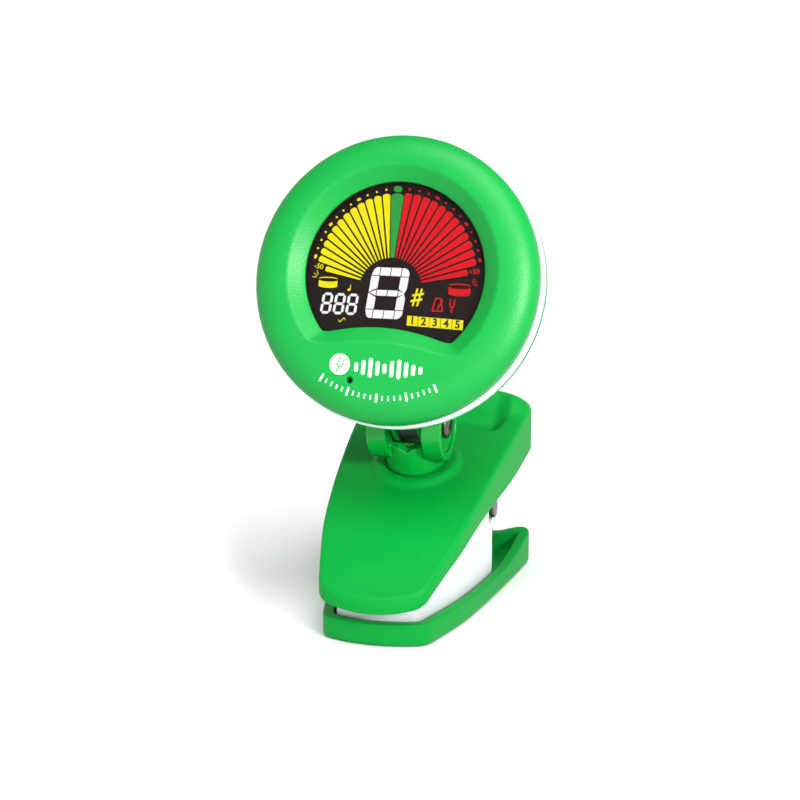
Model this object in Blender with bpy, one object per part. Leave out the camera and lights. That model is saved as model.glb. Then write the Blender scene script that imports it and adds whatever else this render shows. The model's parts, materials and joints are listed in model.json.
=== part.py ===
"""Clip-on tuner: a round display head on a two-axis swivel, carried by a sprung clip.

World frame: the lower jaw lies flat on Z = 0, the clip's tip points to -Y and its handle to +Y,
X runs across the clip, and the swivel post stands over X = Y = 0.
Lengths in the constants and in the mesh helpers are millimetres; the helpers write metres.
"""
import math

import bmesh
import bpy
from mathutils import Matrix, Vector

MM = 0.001
GAP = 0.3                    # clearance between neighbouring solids
HEAD_SEGMENTS = 56

# Head: local x right, y up, z out of the display; z = 0 is the front face.
HEAD_R = 23.0
HEAD_LEAN = 18.3             # degrees that the display leans back from vertical
HEAD_FROM_AXIS = (21.05, 20.4)   # head centre above and in front of the tilt axis
CREST_R = 18.2               # from here the front falls away to the rim, as a quarter ellipse
CREST_DROP = 3.0
BEZEL_BACK = -4.7
BEZEL_PLATE = 2.2
CASE_WALL = 1.4
RING_R = 23.35
RING_Z = (-5.0, -7.2)
COVER_FRONT = -7.5
COVER_BACK = -11.8
COVER_R = 23.3
COVER_FLAT_R = 18.2          # flat part of the back before its rounded edge
COVER_WALL = 1.4
SCREW_POSTS = [(17.2, 8.0), (-17.2, 8.0), (-17.2, -8.0), (17.2, -8.0)]
WINDOW_R = 14.6
WINDOW_Y = 0.8
WINDOW_ROLL = -2.5           # degrees that the window's bottom edge is turned
WINDOW_BEVEL = (2.5, 1.8)    # width and depth of the sloped recess round the window
MIC_AT = (-5.3, -16.5)
BATTERY_R = 10.0
BATTERY_Z = (-7.3, -10.5)
LID_R = 11.0
BUTTON_Y = 14.6
BUTTON_PITCH = 6.5
BUTTON_R = 1.8
BUZZER_AT = (-15.0, -1.0)

# Swivel: local z along the post, x along the tilt axis; z = 0 is the arm's surface.
ARM_SLOPE = 21.0             # degrees between the post's base and the floor
POST_FOOT = (0.0, 0.0, 22.8)
POST_R = 5.0
POST_TOP = 6.0
TILT_H = 7.97                # height of the tilt axis above the post's foot
EAR_R = 6.0
EAR_RECESS_R = 4.7
EAR_X = (3.0, 6.25)
LUG_R = 3.3
LUG_X = 2.7
LUG_POCKET = 1.9             # half width of the hollow round the bush
BUSH_R = 2.6
NECK_R = 2.9
BORE_R = 1.5
TILT_SCREW_R = 1.2

# Clip: plan width against distance from the tip, and the two arms' heights.
CLIP_WIDTHS = [(3.0, 8.9), (8.0, 10.2), (14.0, 11.6), (22.0, 12.7), (32.0, 13.7), (42.0, 14.5), (51.5, 15.0)]
UPPER_Y = (-29.2, 22.6)
LOWER_Y = (-27.3, 22.3)
UPPER_EDGE = (22.0, 0.355, -0.0039)   # height of the upper edge as a quadratic in y
UPPER_RIM = [(-30.0, 5.2), (-24.0, 8.6), (-16.0, 12.0), (-8.0, 14.7), (0.0, 16.4), (10.0, 18.0), (23.0, 21.0)]
LOWER_RIM = [(-28.0, 3.7), (-16.0, 3.6), (-2.0, 3.1), (8.0, 3.2), (15.0, 4.3), (23.0, 6.3)]
CROWN = 0.8
DISH = (11.0, 1.5)           # start of the thumb dish and its depth
TAIL = (17.0, 3.5)           # start and height of the lip that rises behind the dish
ARM_PLATE = 1.8
ARM_WALL = 1.8
PAD_INSET = 2.3
PARTING = (10.57, 0.207)     # height at y = 0 and slope of the plane where the pads meet
LOWER_PAD_REAR = 6.8
UPPER_PAD_REAR = 4.5
PIVOT = (0.0, 10.3, 12.7)
PIVOT_EAR_R = 2.6
PIN_R = 1.0
PIN_HEAD_R = 1.7
LOWER_EAR_X = (8.0, 10.0)
UPPER_EAR_X = (5.7, 7.7)
SPRING_R = 2.3
SPRING_WIRE_R = 0.45
SPRING_TURNS = 6.5
SPRING_PITCH = 1.35

GREEN = (0.02, 0.52, 0.10, 1)
WHITE = (0.86, 0.87, 0.88, 1)


# ---------------------------------------------------------------- scene and materials

def clear_scene():
    for obj in list(bpy.data.objects):
        bpy.data.objects.remove(obj, do_unlink=True)


def make_material(name, colour, roughness, metallic=0.0):
    mat = bpy.data.materials.new(name)
    mat.use_nodes = True
    mat.diffuse_color = colour
    shader = mat.node_tree.nodes["Principled BSDF"]
    shader.inputs["Base Color"].default_value = colour
    shader.inputs["Roughness"].default_value = roughness
    shader.inputs["Metallic"].default_value = metallic
    return mat


def make_axis(name, location, slope):
    """An empty on a joint's axis, turned about X; the pieces that move with it are its children."""
    axis = bpy.data.objects.new(name, None)
    axis.location = Vector(location) * MM
    axis.rotation_euler = (math.radians(slope), 0, 0)
    bpy.context.scene.collection.objects.link(axis)
    return axis


def add_object(name, bm, mat, parent=None, location=(0, 0, 0), smooth=False):
    """Turn a bmesh in millimetres into a named object in metres."""
    bmesh.ops.recalc_face_normals(bm, faces=bm.faces)
    bmesh.ops.scale(bm, vec=(MM, MM, MM), verts=bm.verts)
    mesh = bpy.data.meshes.new(name)
    bm.to_mesh(mesh)
    bm.free()
    mesh.materials.append(mat)
    if smooth:
        mesh.shade_smooth()
        mesh.set_sharp_from_angle(angle=math.radians(35))
    obj = bpy.data.objects.new(name, mesh)
    obj.location = Vector(location) * MM
    obj.parent = parent
    bpy.context.scene.collection.objects.link(obj)
    return obj


def combine(obj, operation, bm, parent=None, location=(0, 0, 0)):
    """Join or cut obj with another closed shape, through a Boolean modifier."""
    tool = add_object(obj.name + "_tool", bm, obj.data.materials[0], parent, location)
    tool.hide_render = True
    tool.display_type = "WIRE"
    modifier = obj.modifiers.new(operation.lower(), "BOOLEAN")
    modifier.operation = operation
    modifier.object = tool
    modifier.solver = "EXACT"


# ---------------------------------------------------------------- shapes

def arc(cx, cy, radius, start, end, steps):
    """Points on a circle, angles in degrees, both ends included."""
    angles = [math.radians(start + (end - start) * i / steps) for i in range(steps + 1)]
    return [(cx + radius * math.cos(a), cy + radius * math.sin(a)) for a in angles]


def smooth_through(points, t):
    """A smooth curve through (t, value) points, by cubic pieces with averaged slopes."""
    last = len(points) - 2
    k = max([i for i in range(last + 1) if t >= points[i][0]] or [0])
    slopes = []
    for i in (k, k + 1):
        a = points[max(i - 1, 0)]
        b = points[min(i + 1, last + 1)]
        slopes.append((b[1] - a[1]) / (b[0] - a[0]))
    step = points[k + 1][0] - points[k][0]
    u = (t - points[k][0]) / step
    return ((2 * u ** 3 - 3 * u ** 2 + 1) * points[k][1] + (u ** 3 - 2 * u ** 2 + u) * step * slopes[0]
            + (3 * u ** 2 - 2 * u ** 3) * points[k + 1][1] + (u ** 3 - u ** 2) * step * slopes[1])


def revolve(profile, segments=48, closed=False, centre=(0, 0)):
    """Turn an (r, z) profile about z; a closed profile makes a ring."""
    bm = bmesh.new()
    rings = []
    for r, z in profile:
        if r == 0:
            rings.append([bm.verts.new((centre[0], centre[1], z))])
        else:
            circle = arc(centre[0], centre[1], r, 0, 360, segments)[:-1]
            rings.append([bm.verts.new((x, y, z)) for x, y in circle])
    pairs = list(zip(rings, rings[1:]))
    if closed:
        pairs.append((rings[-1], rings[0]))
    for upper, lower in pairs:
        for i in range(segments):
            corners = [upper[i % len(upper)], upper[(i + 1) % len(upper)],
                       lower[(i + 1) % len(lower)], lower[i % len(lower)]]
            corners = list(dict.fromkeys(corners))
            if len(corners) > 2:
                bm.faces.new(corners)
    return bm


def disc(radius, z_a, z_b, centre=(0, 0), segments=24):
    return revolve([(0, z_a), (radius, z_a), (radius, z_b), (0, z_b)], segments, centre=centre)


def loft(outlines):
    """Join outlines of equal length, each a list of (x, y, z), and cap the first and last."""
    bm = bmesh.new()
    loops = [[bm.verts.new(p) for p in outline] for outline in outlines]
    for a, b in zip(loops, loops[1:]):
        for i in range(len(a)):
            j = (i + 1) % len(a)
            bm.faces.new((a[i], a[j], b[j], b[i]))
    bm.faces.new(loops[0])
    bm.faces.new(list(reversed(loops[-1])))
    return bm


def prism(outline, z_a, z_b):
    return loft([[(x, y, z) for x, y in outline] for z in (z_a, z_b)])


def side_prism(outline, x_a, x_b):
    """A prism along X from an outline of (y, z) points."""
    return loft([[(x, y, z) for y, z in outline] for x in (x_a, x_b)])


def box(low, high):
    corners = [(low[0], low[1]), (high[0], low[1]), (high[0], high[1]), (low[0], high[1])]
    return prism(corners, low[2], high[2])


def side_disc(radius, x_a, x_b, y, z, segments=24):
    return side_prism(arc(y, z, radius, 0, 360, segments)[:-1], x_a, x_b)


def hull_outline(points):
    """Convex outline round a set of 2-D points, anticlockwise."""
    points = sorted(set(points))
    chains = []
    for run in (points, points[::-1]):
        chain = []
        for p in run:
            while len(chain) > 1 and ((chain[-1][0] - chain[-2][0]) * (p[1] - chain[-2][1])
                                      - (chain[-1][1] - chain[-2][1]) * (p[0] - chain[-2][0])) <= 1e-9:
                chain.pop()
            chain.append(p)
        chains += chain[:-1]
    return chains


# ---------------------------------------------------------------- clip

def clip_outline(tip, rear, cut=None):
    """Right-hand half of a jaw's plan, from the middle of the tip to the rear or to a straight cut."""
    def width(y):
        return smooth_through(CLIP_WIDTHS, y - tip)
    side_start = tip + 4.2
    points = [(0, tip), (3.2, tip + 0.28), (6.0, tip + 0.95), (7.5, tip + 1.6), (8.5, tip + 2.6)]
    end = rear - 3.0 if cut is None else cut
    count = max(2, round((end - side_start) / 3.6))
    points += [(width(side_start + (end - side_start) * i / count),
                side_start + (end - side_start) * i / count) for i in range(count + 1)]
    if cut is None:
        points += [(width(rear) - 0.1, rear - 1.9), (width(rear) - 2.0, rear)]
    return points


def inset(points, distance):
    """Move a half outline inwards with mitred corners; points on the centre line stay on it."""
    moved = []
    for i, (x, y) in enumerate(points):
        here = Vector((x, y))
        before = Vector(points[i - 1] if i else (-points[1][0], points[1][1]))
        if i + 1 < len(points):
            after = Vector(points[i + 1])
        else:
            after = Vector((0, y) if x else (-points[-2][0], points[-2][1]))
        a = (here - before).normalized()
        b = (after - here).normalized()
        shift = Vector((-a.y - b.y, a.x + b.x)) * distance / (1 + a.dot(b))
        moved.append((x + shift.x if x else 0, y + shift.y))
    return moved


def slab(outline, low, high, chamfer_low=0.0, chamfer_high=0.0):
    """A closed plate between two height functions of (y, fraction of the half width).

    The outline is a right-hand half. It starts on the centre line, and it ends there or at the
    corner of a straight rear edge.
    """
    fractions = [1, 0.7, 0.35, 0, -0.35, -0.7, -1]
    bm = bmesh.new()

    def skin(height, edge):
        rows = []
        for x, y in edge:
            columns = fractions if x else [0]
            rows.append([bm.verts.new((x * f, y, height(y, f))) for f in columns])
        for a, b in zip(rows, rows[1:]):
            for i in range(len(fractions) - 1):
                corners = [a[min(i, len(a) - 1)], b[min(i, len(b) - 1)],
                           b[min(i + 1, len(b) - 1)], a[min(i + 1, len(a) - 1)]]
                bm.faces.new(list(dict.fromkeys(corners)))
        return [row[0] for row in rows[:-1]] + rows[-1] + [row[-1] for row in rows[-2:0:-1]]

    def wall_edge(height, offset):
        x, y = outline[-1]
        end = [(x * f, y, f) for f in fractions] if x else [(x, y, 1)]
        loop = [(x, y, 1) for x, y in outline[:-1]] + end + [(-x, y, 1) for x, y in outline[-2:0:-1]]
        return [bm.verts.new((x, y, height(y, f) + offset)) for x, y, f in loop]

    loops = [skin(low, inset(outline, chamfer_low))]
    if chamfer_low:
        loops.append(wall_edge(low, chamfer_low))
    if chamfer_high:
        loops.append(wall_edge(high, -chamfer_high))
    loops.append(skin(high, inset(outline, chamfer_high)))
    for a, b in zip(loops, loops[1:]):
        for i in range(len(a)):
            j = (i + 1) % len(a)
            bm.faces.new((a[i], a[j], b[j], b[i]))
    return bm


def upper_skin(y, f):
    """Height of the upper arm's outer face: a crowned arch, a thumb dish and a raised tail."""
    a, b, c = UPPER_EDGE
    inner = min(1.0, max(0.0, (y - UPPER_Y[0] - 1.0) / 5.0), max(0.0, (UPPER_Y[1] - 1.0 - y) / 2.0))
    dish = DISH[1] * min(1.0, max(0.0, (y - DISH[0]) / 4.0)) * max(0.0, 1 - (f / 0.8) ** 2)
    tail = TAIL[1] * min(1.0, max(0.0, (y - TAIL[0]) / 3.5)) * (1 - abs(f) ** 5)
    return a + b * y + c * y * y + inner * (CROWN * (1 - f * f) - dish) + tail


def upper_rim(y, f):
    return smooth_through(UPPER_RIM, y)


def lower_rim(y, f):
    return smooth_through(LOWER_RIM, y)


def parting(y):
    return PARTING[0] + PARTING[1] * y


def pivot_ear(x_range, base):
    """A lug from an arm's plate to the pivot: the outline round the pin and two base points."""
    ring = arc(PIVOT[1], PIVOT[2], PIVOT_EAR_R, 0, 360, 20)[:-1]
    return side_prism(hull_outline(ring + base), x_range[0], x_range[1])


def add_pivot_ears(arm, x_range, base, parent=None, location=(0, 0, 0)):
    for side in (1, -1):
        x_a, x_b = sorted(side * x for x in x_range)
        combine(arm, "UNION", pivot_ear((x_a, x_b), base), parent, location)
    combine(arm, "DIFFERENCE", side_disc(PIN_R + GAP, -12, 12, PIVOT[1], PIVOT[2], 16), parent, location)


def build_lower_jaw(mats):
    outline = clip_outline(*LOWER_Y)
    arm = add_object("lower_arm", slab(outline, lambda y, f: 0.0, lower_rim, 0.7, 0.4), mats["green"])
    hollow = slab(inset(outline, ARM_WALL), lambda y, f: ARM_PLATE, lambda y, f: 12.0)
    combine(arm, "DIFFERENCE", hollow)
    add_pivot_ears(arm, LOWER_EAR_X, [(8.0, 1.0), (12.7, 1.0)])
    pad_outline = inset(clip_outline(*LOWER_Y, cut=LOWER_PAD_REAR + PAD_INSET), PAD_INSET)
    add_object("lower_jaw_pad",
               slab(pad_outline, lambda y, f: ARM_PLATE + GAP, lambda y, f: parting(y) - GAP / 2, 0, 0.4),
               mats["white_pad"])
    under_head = LOWER_EAR_X[1] + GAP
    half = [(PIN_R, under_head), (PIN_HEAD_R, under_head), (PIN_HEAD_R, 10.9), (PIN_HEAD_R - 0.3, 11.2), (0, 11.2)]
    pin = revolve([(r, -x) for r, x in reversed(half)] + half, 16)
    bmesh.ops.rotate(pin, matrix=Matrix.Rotation(math.radians(90), 3, "Y"), verts=pin.verts)
    add_object("pivot_pin", pin, mats["steel"], location=PIVOT, smooth=True)


def build_spring(mats):
    """Torsion spring round the pin, with one leg under each handle."""
    start, sweep = -75.0, 360.0 * SPRING_TURNS - 30.0
    steps = round(sweep / 36)
    half = SPRING_PITCH * sweep / 720
    coil = []
    for i in range(steps + 1):
        a = math.radians(start + sweep * i / steps)
        coil.append((-half + 2 * half * i / steps, SPRING_R * math.cos(a), SPRING_R * math.sin(a)))
    lower_leg = [(-half, 7.2, -9.7), (-half, 3.5, -5.8)]
    upper_leg = [(half, 3.6, 6.0), (half, 6.9, 10.9)]
    curve = bpy.data.curves.new("torsion_spring", "CURVE")
    curve.dimensions = "3D"
    curve.bevel_depth = SPRING_WIRE_R * MM
    curve.bevel_resolution = 1
    curve.use_fill_caps = True
    curve.render_resolution_u = 0
    line = curve.splines.new("POLY")
    points = lower_leg + coil + upper_leg
    line.points.add(len(points) - 1)
    for point, (x, y, z) in zip(line.points, points):
        point.co = (x * MM, y * MM, z * MM, 1)
    curve.materials.append(mats["steel"])
    spring = bpy.data.objects.new("torsion_spring", curve)
    spring.location = Vector(PIVOT) * MM
    bpy.context.scene.collection.objects.link(spring)


def build_upper_jaw(mats, axis, swivel):
    """The upper arm with its post seat, pivot lugs and pad; modelled in world places."""
    back = tuple(-c for c in PIVOT)
    outline = clip_outline(*UPPER_Y)
    arm = add_object("upper_arm", slab(outline, upper_rim, upper_skin, 0.4, 0.9), mats["green"], axis, back)
    hollow = slab(inset(outline, ARM_WALL), lambda y, f: -2.0, lambda y, f: upper_skin(y, f) - ARM_PLATE)
    combine(arm, "DIFFERENCE", hollow, axis, back)
    seat = [(3.2, 0.3), (5.35, 0.3), (5.5, 0.75), (6.3, 0.75), (7.2, 0.0), (7.2, -1.0), (3.2, -1.0)]
    combine(arm, "UNION", revolve(seat, 32, closed=True), swivel)
    combine(arm, "DIFFERENCE", disc(NECK_R + GAP, 0.25, -4.0, segments=32), swivel)
    add_pivot_ears(arm, UPPER_EAR_X, [(7.0, 22.8), (14.6, 24.6)], axis, back)
    pad_outline = inset(clip_outline(*UPPER_Y, cut=UPPER_PAD_REAR + PAD_INSET), PAD_INSET)
    pad = add_object("upper_jaw_pad",
                     slab(pad_outline, lambda y, f: parting(y) + GAP / 2,
                          lambda y, f: upper_skin(y, f) - ARM_PLATE - GAP, 0.4, 0),
                     mats["white_pad"], axis, back)
    combine(pad, "DIFFERENCE", disc(5.7, -5.6, 2.0, segments=24), swivel)


# ---------------------------------------------------------------- swivel

def build_fork(mats, swivel):
    body = [(0, POST_TOP), (POST_R, POST_TOP), (POST_R, 1.0), (POST_R - 0.3, 0.6), (NECK_R, 0.6),
            (NECK_R, -2.0), (0, -2.0)]
    fork = add_object("swivel_fork", revolve(body, 32), mats["green"], swivel, smooth=True)
    for side in (1, -1):
        x_a, x_b = sorted(side * x for x in EAR_X)
        combine(fork, "UNION", side_disc(EAR_R, x_a, x_b, 0, TILT_H, 30), swivel)
    combine(fork, "DIFFERENCE", side_disc(LUG_R + 0.35, -EAR_X[0], EAR_X[0], 0, TILT_H, 28), swivel)
    combine(fork, "DIFFERENCE", side_disc(BORE_R, -8, 8, 0, TILT_H, 16), swivel)
    combine(fork, "DIFFERENCE", side_disc(EAR_RECESS_R, EAR_X[1] - 0.9, 8, 0, TILT_H, 30), swivel)
    combine(fork, "DIFFERENCE", side_disc(2.8, -8, -EAR_X[1] + 0.9, 0, TILT_H, 6), swivel)
    combine(fork, "DIFFERENCE", disc(1.2, -3, 2.0, segments=12), swivel)

    washer = revolve([(1.3, -2.3), (4.6, -2.3), (4.6, -2.9), (1.3, -2.9)], 24, closed=True)
    add_object("swivel_washer", washer, mats["steel"], swivel, smooth=True)
    screw = [(0, 1.6), (0.9, 1.6), (0.9, -3.2), (2.6, -3.2), (2.6, -4.3), (2.0, -4.7), (0, -4.7)]
    screw_obj = add_object("swivel_screw", revolve(screw, 20), mats["steel"], swivel, smooth=True)
    for low, high in (((-1.3, -0.25, -5), (1.3, 0.25, -4.2)), ((-0.25, -1.3, -5), (0.25, 1.3, -4.2))):
        combine(screw_obj, "DIFFERENCE", box(low, high), swivel)

    seat_x = EAR_X[1] - 0.9
    tilt = [(0, seat_x + 1.2), (1.9, seat_x + 1.2), (2.3, seat_x + 0.9), (2.3, seat_x + GAP),
            (TILT_SCREW_R, seat_x + GAP), (TILT_SCREW_R, -7.1), (0, -7.1)]
    bolt = revolve(tilt, 20)
    bmesh.ops.rotate(bolt, matrix=Matrix.Rotation(math.radians(90), 3, "Y"), verts=bolt.verts)
    bolt_obj = add_object("tilt_screw", bolt, mats["steel"], swivel, (0, 0, TILT_H), smooth=True)
    for low, high in (((6.1, -1.4, -0.25), (7, 1.4, 0.25)), ((6.1, -0.25, -1.4), (7, 0.25, 1.4))):
        combine(bolt_obj, "DIFFERENCE", box(low, high), swivel, (0, 0, TILT_H))
    bush = revolve([(BORE_R, -1.6), (BUSH_R, -1.6), (BUSH_R, 1.6), (BORE_R, 1.6)], 24, closed=True)
    bmesh.ops.rotate(bush, matrix=Matrix.Rotation(math.radians(90), 3, "Y"), verts=bush.verts)
    add_object("tilt_friction_bush", bush, mats["rubber"], swivel, (0, 0, TILT_H), smooth=True)
    nut = add_object("tilt_nut", side_disc(2.45, -6.8, -seat_x - GAP, 0, TILT_H, 6), mats["brass"], swivel)
    combine(nut, "DIFFERENCE", side_disc(BORE_R, -8, -4, 0, TILT_H, 16), swivel)


# ---------------------------------------------------------------- head

def window_outline(grow, flat_bottom=None):
    """The display window: a circle cut off by a low arch, grown outwards by a distance."""
    radius = WINDOW_R + grow
    points = arc(0, 0, radius, -42, 222, 30)
    foot = 9.5 + 0.6 * grow
    for i in range(7):
        x = -foot + 2 * foot * i / 6
        y = -10.1 - grow + 1.45 * (1 - (x / foot) ** 2)
        points.append((x, y if flat_bottom is None else flat_bottom))
    turn = Matrix.Rotation(math.radians(WINDOW_ROLL), 2)
    turned = [turn @ Vector(point) for point in points]
    return [(point.x, point.y + WINDOW_Y) for point in turned]


def build_front(mats, place):
    fall = [(CREST_R + (HEAD_R - CREST_R) * x, CREST_DROP * (y - 1)) for x, y in arc(0, 0, 1, 90, 0, 6)]
    inner = HEAD_R - CASE_WALL
    profile = [(0, 0)] + fall + [(HEAD_R, BEZEL_BACK), (inner, BEZEL_BACK), (inner, -CREST_DROP),
                                 (CREST_R, -BEZEL_PLATE), (0, -BEZEL_PLATE)]
    bezel = add_object("front_bezel", revolve(profile, HEAD_SEGMENTS), mats["green"], smooth=True, **place)
    for centre in SCREW_POSTS:
        combine(bezel, "UNION", disc(2.0, -2.0, -7.0, centre, 16), **place)
        combine(bezel, "DIFFERENCE", disc(1.1, -3.9, -8.0, centre, 10), **place)
    width, depth = WINDOW_BEVEL
    levels = [(0.2, width * (1 + 0.2 / depth)), (-depth, 0.0), (-4.0, 0.0)]
    cutter = loft([[(x, y, z) for x, y in window_outline(grow)] for z, grow in levels])
    combine(bezel, "DIFFERENCE", cutter, **place)
    combine(bezel, "DIFFERENCE", disc(0.5, 1.0, -4.0, MIC_AT, 10), **place)

    ring = [(21.3, RING_Z[0]), (RING_R, RING_Z[0]), (RING_R, RING_Z[1]), (21.3, RING_Z[1])]
    add_object("rim_ring", revolve(ring, HEAD_SEGMENTS, closed=True), mats["clear"], smooth=True, **place)


def build_display(mats, place):
    add_object("display_lens", prism(window_outline(1.2), -2.5, -3.0), mats["lens"], **place)
    add_object("lcd_panel", prism(window_outline(1.0, -11.4), -3.3, -4.3), mats["lcd"], **place)
    add_object("backlight", prism(window_outline(0.4, -9.2), -4.6, -5.2), mats["white_pad"], **place)
    add_object("lcd_connector", box((-8.0, -10.6, -5.4), (8.0, -9.6, -4.6)), mats["rubber"], **place)


def build_electronics(mats, place):
    board = add_object("circuit_board", disc(19.6, -5.7, -6.5, segments=40), mats["board"], **place)
    for centre in SCREW_POSTS:
        combine(board, "DIFFERENCE", disc(2.4, -5.0, -7.0, centre, 14), **place)
    add_object("tuner_chip", box((10.7, 2.0, -7.8), (15.1, 6.4, -6.8)), mats["rubber"], **place)
    add_object("microphone", disc(2.0, -3.2, -5.4, MIC_AT, 16), mats["steel"], smooth=True, **place)
    add_object("buzzer", disc(3.4, -6.8, -9.6, BUZZER_AT, 24), mats["rubber"], smooth=True, **place)
    add_object("vibration_sensor", disc(3.2, -9.7, -10.1, (0, -15.4), 24), mats["brass"], smooth=True, **place)
    cell = [(0, BATTERY_Z[0]), (8.0, BATTERY_Z[0]), (8.3, -7.6), (BATTERY_R, -7.6), (BATTERY_R, BATTERY_Z[1]),
            (0, BATTERY_Z[1])]
    add_object("coin_cell", revolve(cell, 36), mats["steel"], smooth=True, **place)
    add_object("battery_contact_minus", box((-4.0, -5.0, -7.0), (4.0, 3.0, -6.8)), mats["brass"], **place)
    add_object("battery_contact_plus", box((10.5, -3.5, -10.0), (10.9, 1.5, -6.8)), mats["brass"], **place)
    for i in range(3):
        x = BUTTON_PITCH * (i - 1)
        switch = box((x - 1.5, BUTTON_Y - 1.5, -7.9), (x + 1.5, BUTTON_Y + 1.5, -6.8))
        add_object("tact_switch_%d" % (i + 1), switch, mats["steel"], **place)


def build_rear(mats, place):
    rise = COVER_FRONT - COVER_BACK
    outer = [(COVER_FLAT_R + (COVER_R - COVER_FLAT_R) * x, COVER_FRONT - rise * y) for x, y in arc(0, 0, 1, 0, 90, 6)]
    inner = [(COVER_FLAT_R - 1 + (HEAD_R - COVER_WALL - COVER_FLAT_R + 1) * x, COVER_FRONT - (rise - COVER_WALL) * y)
             for x, y in arc(0, 0, 1, 90, 0, 6)]
    opening = LID_R + GAP
    profile = outer + [(opening, COVER_BACK), (opening, COVER_BACK + COVER_WALL)] + inner
    cover = add_object("rear_cover", revolve(profile, HEAD_SEGMENTS, closed=True), mats["green"], smooth=True, **place)
    for centre in SCREW_POSTS:
        combine(cover, "UNION", disc(2.0, -7.4, -10.9, centre, 16), **place)
        combine(cover, "DIFFERENCE", disc(1.1, -7.0, -13.0, centre, 12), **place)
        combine(cover, "DIFFERENCE", disc(1.9, -9.7, -13.0, centre, 16), **place)
    up, out = HEAD_FROM_AXIS
    ring = arc(-up, -out, LUG_R, 0, 360, 24)[:-1]
    lug = side_prism(hull_outline(ring + [(-20.0, -11.0), (-13.5, -11.0)]), -LUG_X, LUG_X)
    combine(cover, "UNION", lug, **place)
    around = BUSH_R + GAP
    combine(cover, "DIFFERENCE", box((-LUG_POCKET, -up - 6.0, -out - 6.0), (LUG_POCKET, -up + around, -out + around)),
            **place)
    combine(cover, "DIFFERENCE", box((-LUG_POCKET, -up - 6.0, -out), (LUG_POCKET, -up, -12.5)), **place)
    combine(cover, "DIFFERENCE", side_disc(BORE_R, -5, 5, -up, -out, 16), **place)
    for i in range(3):
        hole = disc(BUTTON_R + GAP, -9.0, -13.0, (BUTTON_PITCH * (i - 1), BUTTON_Y), 18)
        combine(cover, "DIFFERENCE", hole, **place)
        sound = disc(0.55, -9.0, -13.0, (BUZZER_AT[0], BUZZER_AT[1] + 1.8 * (i - 1)), 8)
        combine(cover, "DIFFERENCE", sound, **place)
    for i, centre in enumerate(SCREW_POSTS):
        shape = [(0, -4.4), (0.75, -4.4), (0.75, -10.0), (1.6, -10.0), (1.6, -10.7), (1.2, -11.0), (0, -11.0)]
        screw = add_object("case_screw_%d" % (i + 1), revolve(shape, 14, centre=centre), mats["steel"],
                           smooth=True, **place)
        x, y = centre
        combine(screw, "DIFFERENCE", box((x - 0.9, y - 0.2, -12), (x + 0.9, y + 0.2, -10.6)), **place)


def build_lid_and_buttons(mats, axis):
    up, out = HEAD_FROM_AXIS
    place = {"parent": axis, "location": (0, up, out)}
    shape = [(0, -10.8), (LID_R, -10.8), (LID_R, -11.5), (LID_R - 0.3, -11.8), (0, -11.8)]
    lid = add_object("battery_cover", revolve(shape, 40), mats["green"], smooth=True, **place)
    combine(lid, "DIFFERENCE", box((-6.0, -0.8, -12.5), (6.0, 0.8, -11.3)), **place)
    for i, name in enumerate(("down_button", "power_button", "up_button")):
        shape = [(0, -8.6), (2.4, -8.6), (2.4, -10.1), (BUTTON_R, -10.1), (BUTTON_R, -12.1), (1.3, -12.4), (0, -12.5)]
        location = (BUTTON_PITCH * (i - 1), up + BUTTON_Y, out)
        add_object(name, revolve(shape, 20), mats["white_pad"], axis, location, smooth=True)


# ---------------------------------------------------------------- assembly

def main():
    clear_scene()
    mats = {
        "green": make_material("green_plastic", GREEN, 0.42),
        "white_pad": make_material("white_rubber", WHITE, 0.6),
        "clear": make_material("clear_plastic", (0.85, 0.95, 0.92, 1), 0.2),
        "lens": make_material("lens_plastic", (0.05, 0.05, 0.05, 1), 0.05),
        "lcd": make_material("lcd_glass", (0.02, 0.015, 0.01, 1), 0.15),
        "rubber": make_material("black_rubber", (0.03, 0.03, 0.03, 1), 0.7),
        "board": make_material("board_laminate", (0.02, 0.18, 0.06, 1), 0.5),
        "steel": make_material("steel", (0.62, 0.62, 0.60, 1), 0.3, 1.0),
        "brass": make_material("brass", (0.78, 0.60, 0.28, 1), 0.3, 1.0),
    }
    jaw_axis = make_axis("jaw_axis", PIVOT, 0)
    swivel_axis = make_axis("swivel_axis", POST_FOOT, ARM_SLOPE)
    slope = math.radians(ARM_SLOPE)
    tilt_at = (0, -TILT_H * math.sin(slope), POST_FOOT[2] + TILT_H * math.cos(slope))
    tilt_axis = make_axis("tilt_axis", tilt_at, 90 - HEAD_LEAN)
    head = {"parent": tilt_axis, "location": (0, *HEAD_FROM_AXIS)}

    build_lower_jaw(mats)
    build_spring(mats)
    build_upper_jaw(mats, jaw_axis, swivel_axis)
    build_fork(mats, swivel_axis)
    build_front(mats, head)
    build_display(mats, head)
    build_electronics(mats, head)
    build_rear(mats, head)
    build_lid_and_buttons(mats, tilt_axis)


main()
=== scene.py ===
"""The looks of the clip-on tuner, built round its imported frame.

Every shape is modelled in millimetres in one of four local frames, which come from the joints:
WORLD, SWIVEL (z up the post), TILT (the same directions, at the tilt axis) and HEAD (x right,
y up, z out of the display, with z = 0 on the front face).
"""
import json
from math import cos, hypot, pi, radians, sin, sqrt, tan

import bmesh
import bpy
import numpy as np
from mathutils import Matrix, Vector


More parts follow.
